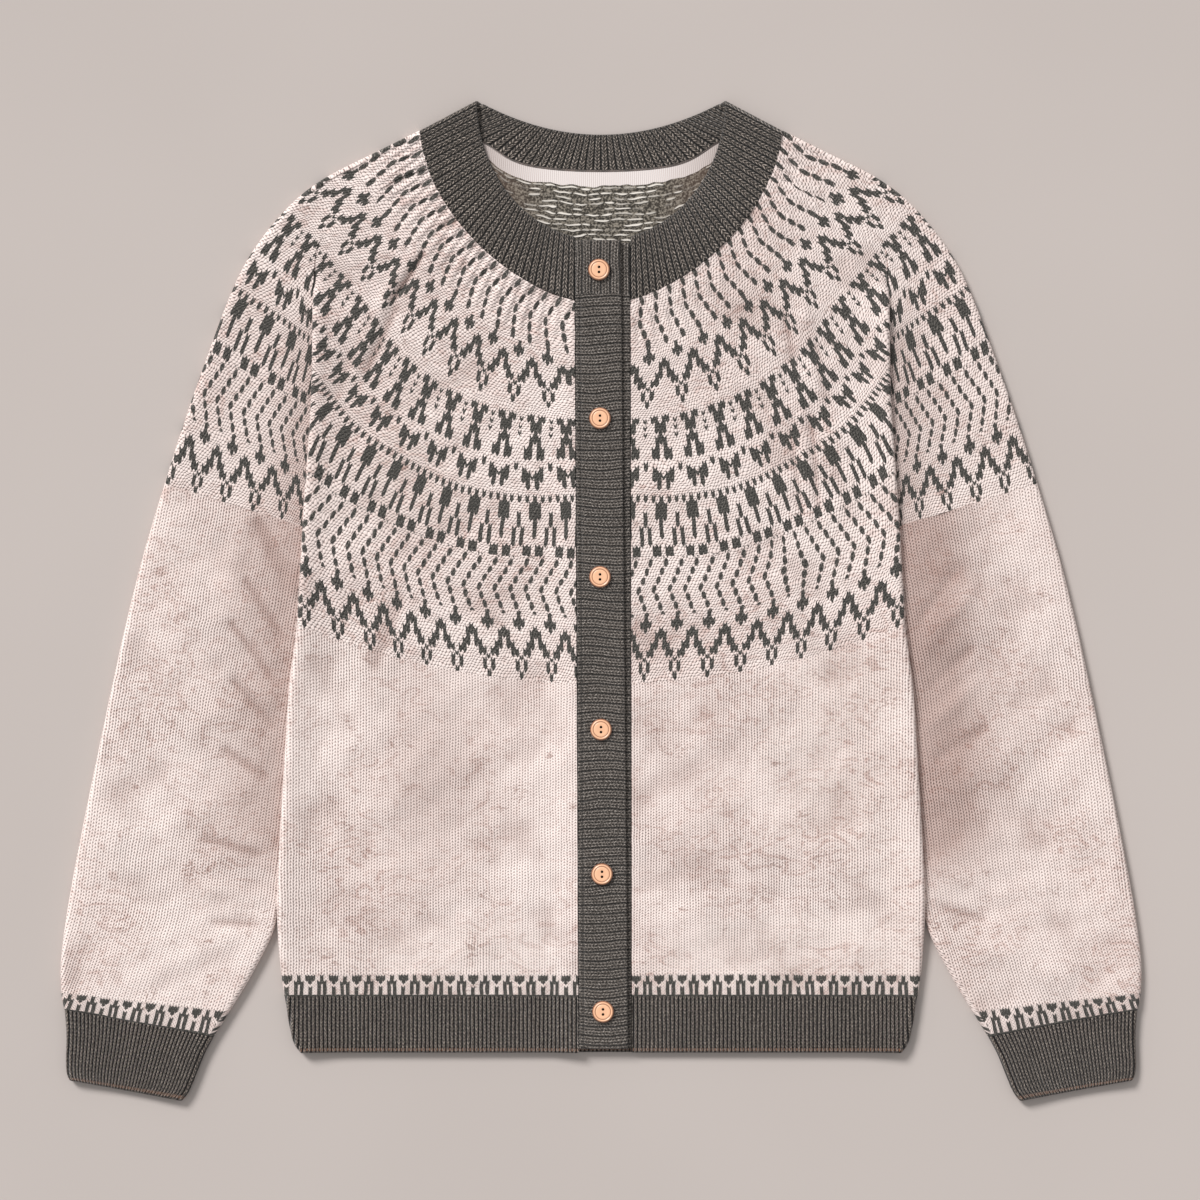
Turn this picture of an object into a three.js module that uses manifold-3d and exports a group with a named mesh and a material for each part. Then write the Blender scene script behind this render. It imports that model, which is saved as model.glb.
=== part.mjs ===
// A fair isle cardigan laid flat on a table, front up, buttoned: knitted body, yoke and sleeves,
// ribbed neckband, hem and cuffs, two front bands and six buttons.
//
// Millimetres, +Z up, +Y towards the neck, X = 0 on the centre line, Z = 0 on the table.
// Every cloth piece is one wall of real thickness: its middle surface is worked out as a grid of
// points, row by row, and then thickened to both sides of that surface.

import * as THREE from 'three';
import { mergeVertices } from 'three/addons/utils/BufferGeometryUtils.js';
import Module from 'manifold-3d';

// ---------- driving sizes ----------

const CLOTH = 2.4;              // wall of the plain and patterned knitting
const RIB = 2.8;                // wall of the ribbing
const SEAM = 0.3;               // clear gap between two pieces
const FRONT_MID = 4.2;          // middle of the front layer where it lies on the back one
const RIB_FRONT_MID = 4.6;      // the same where both layers are ribbing
const UNDER_BAND_MID = 4.6;     // middle of the button band
const TOP_BAND_MID = 7.8;       // middle of the buttonhole band, which laps over it

const NECK_SEAM = { halfWidth: 126.7, depth: 122, top: 329, fullness: 1.7 };
const NECK_EDGE = { halfWidth: 86.8, depth: 98, top: 350, fullness: 2 };
const RAGLAN_AT_NECK = 1.293;   // angle round the neck seam where the sleeve's share begins, radians
const BACK_SEAM = { low: 301.7, rise: 27.3, halfWidth: 126.7, power: 2.2 };
const BACK_EDGE = { low: 326.2, rise: 23.8, halfWidth: 86.8, power: 2 };
const YOKE_FOOT = { low: -58, rise: 39, halfWidth: 207 };
const HEM_TOP = -276;
const HEM_FOOT = -315.5;
const BAND_FOOT = -312.5;

// The folds: how high the cloth stands where it turns over, and how tightly.
const SHOULDER_FOLD = { rise: 4.8, reach: 17 };   // soft roll along shoulder and sleeve
const SHOULDER_TAIL = 9;
const RIDGE_TOP = 10.4;         // body side lying over the edge of the sleeve
const RIDGE_TURN = 2.2;
const RIDGE_REACH = 15;         // how far in the ridge dies away
const TAIL = 12;                // how far the front turns back under at the side
const TAIL_CLEAR = 1.2;         // from the end of that turned-back edge to the back piece
const SLEEVE_TUCK = 0.9;        // how far the sleeve's edge slips under the body's side
const NECKBAND_TAIL = 6.8;      // the same where the neckband turns over at the shoulder
const BACK_NECKBAND_INSET = 8.3; // from that fold in to the end of the back neckband
const ARC_STEPS = 5;
const FLAT_EDGE = 0.8;          // last step of a cloth edge that does not turn over

// Front edge of the body's share of the yoke, from the neck down: first the line where sleeve and
// body part, then the side fold.
const FOLD_LINE = [
  { out: 144, up: 294 },
  { out: 168.7, up: 276.5 },
  { out: 186.2, up: 261 },
  { out: 198.6, up: 247 },
  { out: 200.8, up: 212 },
  { out: 202.3, up: 141 },
  { out: 207.2, up: 70 },
  { out: 212, up: -17 },
];
const BODY_SIDE = [
  { out: 212, up: -17 },
  { out: 217.7, up: -60 },
  { out: 220.5, up: -104 },
  { out: 224.7, up: -174 },
  { out: 226, up: -215 },
  { out: 224.6, up: -250 },
  { out: 221.3, up: -276 },
];
const HEM_SIDE = [
  { out: 221, up: -276 },
  { out: 217.7, up: -297 },
  { out: 214.5, up: -309 },
  { out: 209.5, up: -315.5 },
];
const SHOULDER_LINE = [
  { out: 126.7, up: 329 },
  { out: 154, up: 315.5 },
  { out: 194.6, up: 294.7 },
  { out: 221, up: 273 },
  { out: 245, up: 242 },
  { out: 260.4, up: 210.7 },
  { out: 276, up: 168.7 },
  { out: 291, up: 126 },
  { out: 305, up: 82 },
];
// The sleeve from the yoke to the cuff, then the cuff: a row for each section across it.
const SLEEVE_ROWS = [
  { innerOut: 206.8, innerUp: 52, outerOut: 305, outerUp: 82 },
  { innerOut: 209.4, innerUp: 5, outerOut: 320, outerUp: 32 },
  { innerOut: 213.6, innerUp: -45, outerOut: 333, outerUp: -20 },
  { innerOut: 217.8, innerUp: -95, outerOut: 344, outerUp: -70 },
  { innerOut: 221, innerUp: -145, outerOut: 354.5, outerUp: -120 },
  { innerOut: 223.4, innerUp: -190, outerOut: 365, outerUp: -172 },
  { innerOut: 227.5, innerUp: -226, outerOut: 373, outerUp: -216 },
  { innerOut: 243, innerUp: -259, outerOut: 377.5, outerUp: -252 },
  { innerOut: 261, innerUp: -289, outerOut: 377, outerUp: -275 },
  { innerOut: 270.4, innerUp: -304, outerOut: 375, outerUp: -285 },
];
const CUFF_ROWS = [
  { innerOut: 270.6, innerUp: -304.4, outerOut: 375, outerUp: -285.4 },
  { innerOut: 277.2, innerUp: -317, outerOut: 373.8, outerUp: -303 },
  { innerOut: 283.6, innerUp: -333, outerOut: 374.2, outerUp: -321 },
  { innerOut: 288, innerUp: -343, outerOut: 373.4, outerUp: -330 },
  { innerOut: 293, innerUp: -349.2, outerOut: 371, outerUp: -334.8 },
];
// Front bands, at the neck and at the hem: left and right edges as seen from the front.
const TOP_BAND = { left: [-18.2, -15.2], right: [13.8, 18.8], top: 252 };
const UNDER_BAND = { left: [-12, -10], right: [20.4, 21.4], top: 250 };
const LEFT_FRONT_EDGE = [-18.7, -15.7];
const RIGHT_FRONT_EDGE = [20.7, 21.7];

const BUTTON = { radius: 7.5, thickness: 2.6, groove: 5.4, hole: 0.95, holeFromCentre: 1.75 };
const BUTTON_PLACES = [
  { out: -1.4, up: 231 },
  { out: -0.7, up: 127.4 },
  { out: -0.7, up: 16.8 },
  { out: 0, up: -89.6 },
  { out: 0.7, up: -190.4 },
  { out: 1.4, up: -286.3 },
];
// Soft diagonal creases on the upper yoke, as low ridges of the front layer.
const YOKE_CREASES = [
  { side: -1, fromOut: 126, fromUp: 226, toOut: 163, toUp: 174, height: 1.6, width: 7 },
  { side: 1, fromOut: 138, fromUp: 224, toOut: 152, toUp: 158, height: 1.4, width: 8 },
];

// ---------- materials ----------

const knit = new THREE.MeshStandardMaterial({ color: 0xe6dad3, roughness: 0.95, metalness: 0 });
const patterned = new THREE.MeshStandardMaterial({ color: 0xc9bfb9, roughness: 0.95, metalness: 0 });
const charcoal = new THREE.MeshStandardMaterial({ color: 0x4b4c48, roughness: 0.95, metalness: 0 });
const peach = new THREE.MeshStandardMaterial({ color: 0xf5be93, roughness: 0.45, metalness: 0 });

// ---------- small helpers ----------

const mix = (a, b, t) => a + (b - a) * t;
const clamp01 = (t) => Math.min(1, Math.max(0, t));
const ease = (from, to, x) => {
  const t = clamp01((x - from) / (to - from));
  return t * t * (3 - 2 * t);
};
const point = (out, up) => new THREE.Vector2(out, up);
const curveThrough = (rows) => new THREE.SplineCurve(rows.map((row) => point(row.out, row.up)));
const steps = (from, to, count) => (
  Array.from({ length: count }, (_, i) => mix(from, to, i / (count - 1)))
);

// A point of a rounded neckline at an angle from its lowest point.
function necklinePoint(line, angle) {
  const bend = 2 / line.fullness;
  return point(line.halfWidth * Math.sin(angle) ** bend, line.top - line.depth * Math.cos(angle) ** bend);
}
const dippedLine = (line, out) => line.low + line.rise * (Math.abs(out) / line.halfWidth) ** (line.power ?? 2);

// A patch between four edges that meet at its corners.
function coonsPatch(start, end, inner, outer) {
  return (u, v) => {
    const across = start(u).clone().lerp(end(u), v);
    const along = inner(v).clone().lerp(outer(v), u);
    const corners = start(0).clone().lerp(start(1), u).lerp(end(0).clone().lerp(end(1), u), v);
    return across.add(along).sub(corners);
  };
}

// Distance from a crease's line, as a fraction of its width, with its ends faded.
function creaseHeight(side, place) {
  let height = 0;
  for (const crease of YOKE_CREASES.filter((each) => each.side === side)) {
    const from = point(crease.fromOut, crease.fromUp);
    const line = point(crease.toOut, crease.toUp).sub(from);
    const rest = place.clone().sub(from);
    const t = rest.dot(line) / line.lengthSq();
    const away = rest.sub(line.clone().multiplyScalar(clamp01(t))).length() / crease.width;
    height += crease.height * Math.exp(-away * away);
  }
  return height;
}

// ---------- from a grid of points to a closed wall ----------

function gridNormals(grid, closedAcross) {
  const rows = grid.length;
  const columns = grid[0].length;
  const at = (j, i) => {
    const row = grid[Math.min(rows - 1, Math.max(0, j))];
    return closedAcross ? row[(i + columns) % columns] : row[Math.min(columns - 1, Math.max(0, i))];
  };
  return grid.map((row, j) => row.map((_, i) => {
    const across = at(j, i + 1).clone().sub(at(j, i - 1));
    const along = at(j + 1, i).clone().sub(at(j - 1, i));
    return across.cross(along).normalize();
  }));
}

function signedVolume(positions, faces) {
  const corner = (k) => new THREE.Vector3().fromArray(positions, 3 * faces[k]);
  let volume = 0;
  for (let k = 0; k < faces.length; k += 3) {
    volume += corner(k).dot(corner(k + 1).cross(corner(k + 2))) / 6;
  }
  return volume;
}

function closedGeometry(positions, faces) {
  if (signedVolume(positions, faces) < 0) {
    for (let k = 0; k < faces.length; k += 3) {
      [faces[k + 1], faces[k + 2]] = [faces[k + 2], faces[k + 1]];
    }
  }
  const geometry = new THREE.BufferGeometry();
  geometry.setAttribute('position', new THREE.Float32BufferAttribute(positions, 3));
  geometry.setIndex(faces);
  return geometry;
}

// A wall of even thickness on a grid of middle points, grid[row][column]; closedAcross joins the
// last column to the first, as round a sleeve.
function wall(grid, thickness, closedAcross = false) {
  const rows = grid.length;
  const columns = grid[0].length;
  const normals = gridNormals(grid, closedAcross);
  const positions = [];
  for (const side of [1, -1]) {
    grid.forEach((row, j) => row.forEach((middle, i) => {
      const place = middle.clone().addScaledVector(normals[j][i], side * thickness / 2);
      positions.push(place.x, place.y, Math.max(0, place.z));
    }));
  }
  const id = (layer, j, i) => layer * rows * columns + j * columns + (i % columns);
  const faces = [];
  const quad = (a, b, c, d) => faces.push(a, b, c, a, c, d);
  const lastColumn = closedAcross ? columns : columns - 1;
  for (let j = 0; j < rows - 1; j += 1) {
    for (let i = 0; i < lastColumn; i += 1) {
      quad(id(0, j, i), id(0, j, i + 1), id(0, j + 1, i + 1), id(0, j + 1, i));
      quad(id(1, j, i), id(1, j + 1, i), id(1, j + 1, i + 1), id(1, j, i + 1));
    }
  }
  for (let i = 0; i < lastColumn; i += 1) {
    quad(id(1, 0, i), id(1, 0, i + 1), id(0, 0, i + 1), id(0, 0, i));
    quad(id(0, rows - 1, i), id(0, rows - 1, i + 1), id(1, rows - 1, i + 1), id(1, rows - 1, i));
  }
  if (!closedAcross) {
    for (let j = 0; j < rows - 1; j += 1) {
      quad(id(0, j, 0), id(0, j + 1, 0), id(1, j + 1, 0), id(1, j, 0));
      const last = columns - 1;
      quad(id(1, j, last), id(1, j + 1, last), id(0, j + 1, last), id(0, j, last));
    }
  }
  return closedGeometry(positions, faces);
}

// ---------- how cloth turns over at a fold ----------

// The middle line of the cloth at a fold, from the top of the turn, round it and back under. Each
// point says how far in from the fold's outermost line it is, and how high. Strength 0 is flat
// cloth that just ends there, and 1 a full turn whose tail comes down onto the table.
function foldPath(top, turn, thickness, tail, strength) {
  const floor = thickness / 2;
  const centre = { inset: turn + thickness / 2, height: top - turn };
  const toTail = point(tail - centre.inset, centre.height - floor);
  const slope = Math.atan2(toTail.y, toTail.x);
  const fullAngle = 1.5 * Math.PI - slope - Math.acos(Math.min(1, turn / toTail.length()));
  const stepLength = (turn * fullAngle) / ARC_STEPS;
  const path = [{ out: 0, height: top, travel: 0 }];
  let heading = 0;
  for (let k = 0; k < ARC_STEPS; k += 1) {
    heading += (strength * fullAngle) / ARC_STEPS / (k === 0 ? 2 : 1);
    const last = path[path.length - 1];
    path.push({
      out: last.out + stepLength * Math.cos(heading),
      height: last.height - stepLength * Math.sin(heading),
      travel: last.travel + stepLength,
    });
  }
  const end = path[path.length - 1];
  const edgeLength = mix(FLAT_EDGE, Math.sqrt(toTail.lengthSq() - turn ** 2), strength);
  const edgeHeading = strength * fullAngle;
  const edgeHeight = Math.max(1.5 * thickness + SEAM, end.height - edgeLength * Math.sin(edgeHeading));
  const widest = Math.max(...path.map((place) => place.out));
  const outermost = Math.max(
    widest + strength * thickness / 2,
    end.out + edgeLength * Math.cos(edgeHeading),
  );
  path.push({
    out: end.out + edgeLength * Math.cos(edgeHeading),
    height: mix(edgeHeight, floor, ease(0.9, 1, strength)),
    travel: end.travel + edgeLength,
  });
  const outermostTravel = turn * Math.PI / 2;
  return path.map((place) => ({
    inset: outermost - place.out,
    height: place.height,
    travel: place.travel - outermostTravel,
  }));
}

// A front layer with a fold along its outer edge: rows from the inner edge out to the fold.
//   plan(u, v)            the flat outline, u = 1 on the fold's outermost line
//   layer(place, v)       height of the middle of the layer away from the fold
//   fold(v)               { top, turn, tail, strength }
//   foldAlong             way along the fold that the cloth also slides as it goes over it, if any
function foldedGrid({ plan, layer, fold, across, down, thickness, side, foldAlong = point(0, 0) }) {
  return down.map((v) => {
    const { top, turn, tail, strength } = fold(v);
    const tip = plan(1, v);
    const inward = plan(0.94, v).sub(tip).normalize();
    const length = plan(0, v).distanceTo(tip);
    const start = foldPath(top, turn, thickness, tail, strength)[0].inset;
    const turnLine = tip.clone().addScaledVector(inward, start);
    const shift = turnLine.clone().sub(plan(1 - start / length, v));
    const row = across.map((u) => {
      const place = plan(u * (1 - start / length), v).addScaledVector(shift, u ** 4);
      const fromTurn = place.distanceTo(turnLine) / RIDGE_REACH;
      const base = layer(place, v);
      const height = base + (top - base) * strength * Math.exp(-(fromTurn ** 1.5));
      return new THREE.Vector3(place.x, place.y, height);
    });
    const edgeTop = row[row.length - 1].z;
    const square = inward.clone().addScaledVector(foldAlong, -inward.dot(foldAlong));   // straight across it
    const slide = -inward.dot(foldAlong) / square.length();
    square.normalize();
    foldPath(edgeTop, turn, thickness, tail, strength).slice(1).forEach((step) => {
      const place = tip.clone().addScaledVector(square, step.inset);
      place.addScaledVector(foldAlong, slide * step.travel);
      row.push(new THREE.Vector3(place.x, place.y, step.height));
    });
    return row.map((place) => place.multiply(new THREE.Vector3(side, 1, 1)));
  });
}

// ---------- the garment ----------

const cardigan = new THREE.Group();

function addPiece(name, geometry, material) {
  const mesh = new THREE.Mesh(geometry, material);
  mesh.name = name;
  cardigan.add(mesh);
  return mesh;
}

const sides = [{ name: 'left', side: -1 }, { name: 'right', side: 1 }];
const neckAngleAt = (line, out) => Math.asin((out / line.halfWidth) ** (line.fullness / 2));

const neckSeamEnd = necklinePoint(NECK_SEAM, RAGLAN_AT_NECK);
const foldLine = curveThrough([{ out: neckSeamEnd.x, up: neckSeamEnd.y }, ...FOLD_LINE]);
const bodySide = curveThrough(BODY_SIDE);
const hemSide = curveThrough(HEM_SIDE);
const shoulderLine = curveThrough(SHOULDER_LINE);
const halfSeam = SEAM / 2;

// Stations down the line where sleeve and body meet, shared by the pieces on both sides of it:
// from the neck to the foot of the sleeve's share, and on to the foot of the body's.
const SLEEVE_FOOT = SLEEVE_ROWS[0].innerUp;
const shareAtHeight = (curve, up) => {
  let [low, high] = [0, 1];
  for (let k = 0; k < 40; k += 1) {
    const middle = (low + high) / 2;
    if (curve.getPointAt(middle).y > up) low = middle;
    else high = middle;
  }
  return low;
};
const sleeveShare = shareAtHeight(foldLine, SLEEVE_FOOT);
const sharedStations = steps(0, sleeveShare, 12);
const yokeStations = [...sharedStations, ...steps(sleeveShare, 1, 4).slice(1)];

// Inner edge of a front, which leans a little from neck to hem.
function frontEdge(side, up) {
  const [atNeck, atHem] = side < 0 ? LEFT_FRONT_EDGE : RIGHT_FRONT_EDGE;
  return Math.abs(mix(atNeck, atHem, (TOP_BAND.top - up) / (TOP_BAND.top - HEM_FOOT)));
}

// The left front rises to meet the band that laps over; the right front joins the one beneath.
function frontLayer(side, base) {
  const bandRise = side < 0 ? TOP_BAND_MID - base - 0.3 : UNDER_BAND_MID - base;
  return (place) => {
    const fromBand = place.x - frontEdge(side, place.y);
    return base + bandRise * (1 - ease(0, 24, fromBand)) + creaseHeight(side, place);
  };
}

// How far the fold between body and sleeve has formed, by height up the garment.
const foldStrength = (up) => 1 - ease(196, 240, up);
const ridgeFold = (up) => ({
  top: mix(RIDGE_TOP, 6.6, ease(-205, -262, up)),
  turn: mix(RIDGE_TURN, 2.4, ease(-205, -262, up)),
  tail: TAIL,
  strength: foldStrength(up),
});

function frontPieces({ name, side }) {
  const startAngle = neckAngleAt(NECK_SEAM, frontEdge(side, NECK_SEAM.top - NECK_SEAM.depth));
  const footUp = (out) => dippedLine(YOKE_FOOT, out);

  const yokePlan = coonsPatch(
    (u) => necklinePoint(NECK_SEAM, mix(startAngle, RAGLAN_AT_NECK, u)),
    (u) => {
      const out = mix(frontEdge(side, YOKE_FOOT.low), BODY_SIDE[0].out, u);
      return point(out, footUp(out));
    },
    (v) => {
      const top = necklinePoint(NECK_SEAM, startAngle);
      const foot = frontEdge(side, YOKE_FOOT.low);
      return point(mix(top.x, foot, v), mix(top.y, footUp(foot), v));
    },
    (v) => foldLine.getPointAt(v),
  );
  addPiece(`yoke_front_${name}`, wall(foldedGrid({
    plan: yokePlan,
    layer: frontLayer(side, FRONT_MID),
    fold: (v) => ridgeFold(yokePlan(1, v).y),
    across: steps(0, 1, 9),
    down: yokeStations.map((v) => mix(0.001, 0.9995, v)),
    thickness: CLOTH,
    side,
  }), CLOTH), patterned);

  const bodyPlan = coonsPatch(
    (u) => {
      const out = mix(frontEdge(side, YOKE_FOOT.low), BODY_SIDE[0].out, u);
      return point(out, footUp(out));
    },
    (u) => point(mix(frontEdge(side, HEM_TOP), BODY_SIDE[BODY_SIDE.length - 1].out, u), HEM_TOP),
    (v) => {
      const up = mix(footUp(frontEdge(side, YOKE_FOOT.low)), HEM_TOP, v);
      return point(mix(frontEdge(side, YOKE_FOOT.low), frontEdge(side, HEM_TOP), v), up);
    },
    (v) => bodySide.getPointAt(v),
  );
  addPiece(`front_${name}`, wall(foldedGrid({
    plan: bodyPlan,
    layer: frontLayer(side, FRONT_MID),
    fold: (v) => ridgeFold(bodyPlan(1, v).y),
    across: steps(0, 1, 9),
    down: steps(0.0014, 0.9986, 8),
    thickness: CLOTH,
    side,
  }), CLOTH), knit);

  const hemPlan = (u, v) => {
    const outer = hemSide.getPointAt(v);
    return point(mix(frontEdge(side, outer.y), outer.x, u), outer.y);
  };
  addPiece(`hem_front_${name}`, wall(foldedGrid({
    plan: hemPlan,
    layer: frontLayer(side, RIB_FRONT_MID),
    fold: (v) => ({ top: 6.8, turn: 2.3, tail: TAIL, strength: 1 }),
    across: steps(0, 1, 9),
    down: steps(0.006, 1, 4),
    thickness: RIB,
    side,
  }), RIB), charcoal);
}

const sleeveYokeShare = (row) => mix(0.004, 0.996, row / (sharedStations.length - 1));

// The sleeve's share of the yoke: from the fold line over the front, round the shoulder's roll
// and back across underneath.
function yokeSleeve({ name, side }) {
  const rows = sharedStations.map((station, j) => {
    const v = sleeveYokeShare(j);
    const outer = shoulderLine.getPointAt(v);
    const inner = foldLine.getPointAt(mix(0.003, 0.996, j / (sharedStations.length - 1)) * sleeveShare);
    const outward = outer.clone().sub(inner).normalize();
    const strength = foldStrength(inner.y);
    const clear = SEAM * (1.5 + 10 * strength * (1 - strength));
    inner.addScaledVector(outward, mix(clear, -SLEEVE_TUCK, ease(0.97, 1, strength)));
    const roll = 0.5 * SHOULDER_FOLD.rise * ease(-25, 60, outer.distanceTo(inner));
    const fold = foldPath(CLOTH / 2 + 2 * roll, roll, CLOTH, SHOULDER_TAIL, 1);
    const rollStart = fold[0].inset;
    const front = steps(0, 1, 7).map((t) => {
      const place = inner.clone().lerp(outer.clone().addScaledVector(outward, -rollStart), t);
      const fromRoll = (place.distanceTo(outer) - rollStart) / SHOULDER_FOLD.reach;
      const height = FRONT_MID + (fold[0].height - FRONT_MID) * Math.exp(-(fromRoll ** 2));
      return new THREE.Vector3(place.x, place.y, height);
    });
    const turned = fold.slice(1).map((step) => {
      const place = outer.clone().addScaledVector(outward, -step.inset);
      return new THREE.Vector3(place.x, place.y, step.height);
    });
    const tail = turned[turned.length - 1];
    const backInner = backRaglan.getPointAt(v);
    const back = steps(0.25, 1, 4).map((t) => (
      new THREE.Vector3(mix(tail.x, backInner.x, t), mix(tail.y, backInner.y, t), CLOTH / 2)
    ));
    return [...front, ...turned, ...back].map((place) => place.multiply(new THREE.Vector3(side, 1, 1)));
  });
  addPiece(`yoke_sleeve_${name}`, wall(rows, CLOTH), patterned);
}
const backRaglan = curveThrough([
  { out: 106, up: dippedLine(BACK_SEAM, 106) - SEAM },
  { out: 150, up: 290 },
  { out: 180, up: 260 },
  { out: 197, up: 225 },
  { out: 201.5, up: 180 },
  { out: 202.2, up: 125 },
  { out: 206, up: 52 },
]);

// A flattened tube between an inner and an outer edge line.
function tubeRows({ table, thickness, side, innerTurn, outerTurn, mid, swell, count }) {
  const inner = new THREE.SplineCurve(table.map((row) => point(row.innerOut, row.innerUp)));
  const outer = new THREE.SplineCurve(table.map((row) => point(row.outerOut, row.outerUp)));
  const backMid = thickness / 2;
  return steps(0, 1, count).map((v) => {
    const from = inner.getPoint(v);
    const to = outer.getPoint(v);
    const outward = to.clone().sub(from).normalize();
    const place = (inset, height, edge) => {
      const start = edge === 'outer' ? to : from;
      const flat = start.clone().addScaledVector(outward, edge === 'outer' ? -inset : inset);
      return new THREE.Vector3(side * flat.x, flat.y, height);
    };
    const innerRadius = innerTurn(from.y);
    const outerRadius = outerTurn(to.y);
    const start = innerRadius + thickness / 2;
    const end = to.distanceTo(from) - outerRadius - thickness / 2;
    const roll = (distance, radius) => {
      const rise = backMid + 2 * radius - mid;
      return rise * Math.exp(-((distance / SHOULDER_FOLD.reach) ** 2));
    };
    const loop = steps(start, end, 7).map((inset) => {
      const puff = swell(v) * Math.sin((Math.PI * (inset - start)) / (end - start));
      const rolls = roll(inset - start, innerRadius) + roll(end - inset, outerRadius);
      return place(inset, mid + puff + rolls, 'inner');
    });
    for (let k = 1; k < ARC_STEPS; k += 1) {
      const angle = (Math.PI * k) / ARC_STEPS;
      const inset = thickness / 2 + outerRadius * (1 - Math.sin(angle));
      loop.push(place(inset, backMid + outerRadius * (1 + Math.cos(angle)), 'outer'));
    }
    loop.push(...steps(end, start, 5).map((inset) => place(inset, backMid, 'inner')));
    for (let k = ARC_STEPS - 1; k > 0; k -= 1) {
      const angle = (Math.PI * k) / ARC_STEPS;
      const inset = thickness / 2 + innerRadius * (1 - Math.sin(angle));
      loop.push(place(inset, backMid + innerRadius * (1 + Math.cos(angle)), 'inner'));
    }
    return loop;
  });
}

function sleeve({ name, side }) {
  const innerTurn = (up) => mix(1.5, 2.3, ease(-205, -250, up));
  const rows = tubeRows({
    table: SLEEVE_ROWS,
    thickness: CLOTH,
    side,
    innerTurn,
    outerTurn: () => SHOULDER_FOLD.rise / 2,
    mid: FRONT_MID,
    swell: (v) => 1.2 * ease(0, 0.15, v) * (1 - ease(0.9, 1, v)),
    count: 11,
  });
  addPiece(`sleeve_${name}`, wall(rows, CLOTH, true), knit);
  const cuffRows = tubeRows({
    table: CUFF_ROWS,
    thickness: RIB,
    side,
    innerTurn: () => 2.2,
    outerTurn: () => 2.2,
    mid: RIB_FRONT_MID,
    swell: () => 0,
    count: 5,
  });
  addPiece(`cuff_${name}`, wall(cuffRows, RIB, true), charcoal);
}

// Neckband: two fronts that turn over at the shoulder, and a back one flat on the table.
function neckbandFront({ name, side }) {
  const bandEdge = side < 0 ? -TOP_BAND.left[0] + SEAM : UNDER_BAND.right[0] + SEAM;
  const onLine = (line, v) => necklinePoint(line, mix(neckAngleAt(line, bandEdge), Math.PI / 2, v));
  const plan = (along, across) => onLine(NECK_SEAM, along).lerp(onLine(NECK_EDGE, along), across);
  const bandRise = side < 0 ? TOP_BAND_MID - RIB_FRONT_MID - 0.3 : 0;
  const grid = foldedGrid({
    plan,
    layer: (place) => RIB_FRONT_MID + bandRise * (1 - ease(0, 24, place.x - bandEdge)),
    fold: () => ({ top: 6.4, turn: 2.5, tail: NECKBAND_TAIL, strength: 1 }),
    foldAlong: point(NECK_EDGE.halfWidth - NECK_SEAM.halfWidth, NECK_EDGE.top - NECK_SEAM.top).normalize(),
    across: steps(0, 1, 13),
    down: steps(SEAM / 40, 1, 4),
    thickness: RIB,
    side,
  });
  addPiece(`neckband_front_${name}`, wall(grid, RIB), charcoal);
}

// A flat piece of the back layer between two lines that both run across the garment.
function backPlate({ name, rows, columns, lowLine, highLine, thickness, material }) {
  const grid = steps(0, 1, rows).map((v) => steps(-1, 1, columns).map((u) => {
    const low = lowLine(u);
    const high = highLine(u);
    return new THREE.Vector3(mix(low.x, high.x, v), mix(low.y, high.y, v), thickness / 2);
  }));
  addPiece(name, wall(grid, thickness), material);
}

function backPieces() {
  // The back of the yoke: rows go from the foot up to the neck. Its sides lie inside the
  // turned-back edges of the fronts, and higher up they follow the raglan.
  const beside = (up) => point(foldLineAt(up) - TAIL - TAIL_CLEAR, up);
  const lowSides = steps(BODY_SIDE[0].up, SLEEVE_FOOT, 4).slice(0, 3).map(beside);
  const highSides = sharedStations.map((_, j) => {
    const place = backRaglan.getPointAt(sleeveYokeShare(sharedStations.length - 1 - j));
    return foldStrength(place.y) > 0.01 ? beside(place.y) : point(place.x - 1.5 * SEAM, place.y - SEAM);
  });
  const edges = [...lowSides, ...highSides];
  const rows = edges.map((edge, j) => steps(-1, 1, 13).map((u) => {
    const out = u * edge.x;
    const foot = dippedLine(YOKE_FOOT, out) + halfSeam - dippedLine(YOKE_FOOT, edge.x);
    const neck = dippedLine(BACK_SEAM, out) - SEAM - dippedLine(BACK_SEAM, edge.x);
    return new THREE.Vector3(out, edge.y + mix(foot, neck, (j / (edges.length - 1)) ** 3), CLOTH / 2);
  }));
  addPiece('yoke_back', wall(rows, CLOTH), patterned);

  const plain = steps(0, 1, 7).map((v) => {
    const edge = bodySide.getPointAt(v);
    edge.x -= TAIL + TAIL_CLEAR;
    return steps(-1, 1, 13).map((u) => {
      const out = u * edge.x;
      const foot = dippedLine(YOKE_FOOT, out) - dippedLine(YOKE_FOOT, edge.x) - halfSeam;
      return new THREE.Vector3(out, edge.y + mix(foot, halfSeam, v), CLOTH / 2);
    });
  });
  addPiece('back', wall(plain, CLOTH), knit);

  const hemAt = (row, up) => (u) => point(u * (row.out - TAIL - TAIL_CLEAR), up);
  backPlate({
    name: 'hem_back',
    rows: 4,
    columns: 11,
    lowLine: hemAt(HEM_SIDE[HEM_SIDE.length - 1], HEM_FOOT),
    highLine: hemAt(HEM_SIDE[0], HEM_TOP - halfSeam),
    thickness: RIB,
    material: charcoal,
  });

  const alongNeck = (line) => (u) => {
    const out = u * (line.halfWidth - BACK_NECKBAND_INSET);
    return point(out, dippedLine(line, out));
  };
  backPlate({
    name: 'neckband_back',
    rows: 4,
    columns: 17,
    lowLine: alongNeck(BACK_SEAM),
    highLine: alongNeck(BACK_EDGE),
    thickness: RIB,
    material: charcoal,
  });
}
function foldLineAt(up) {
  const places = foldLine.getSpacedPoints(200);
  return places.reduce((best, place) => (Math.abs(place.y - up) < Math.abs(best.y - up) ? place : best)).x;
}

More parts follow.
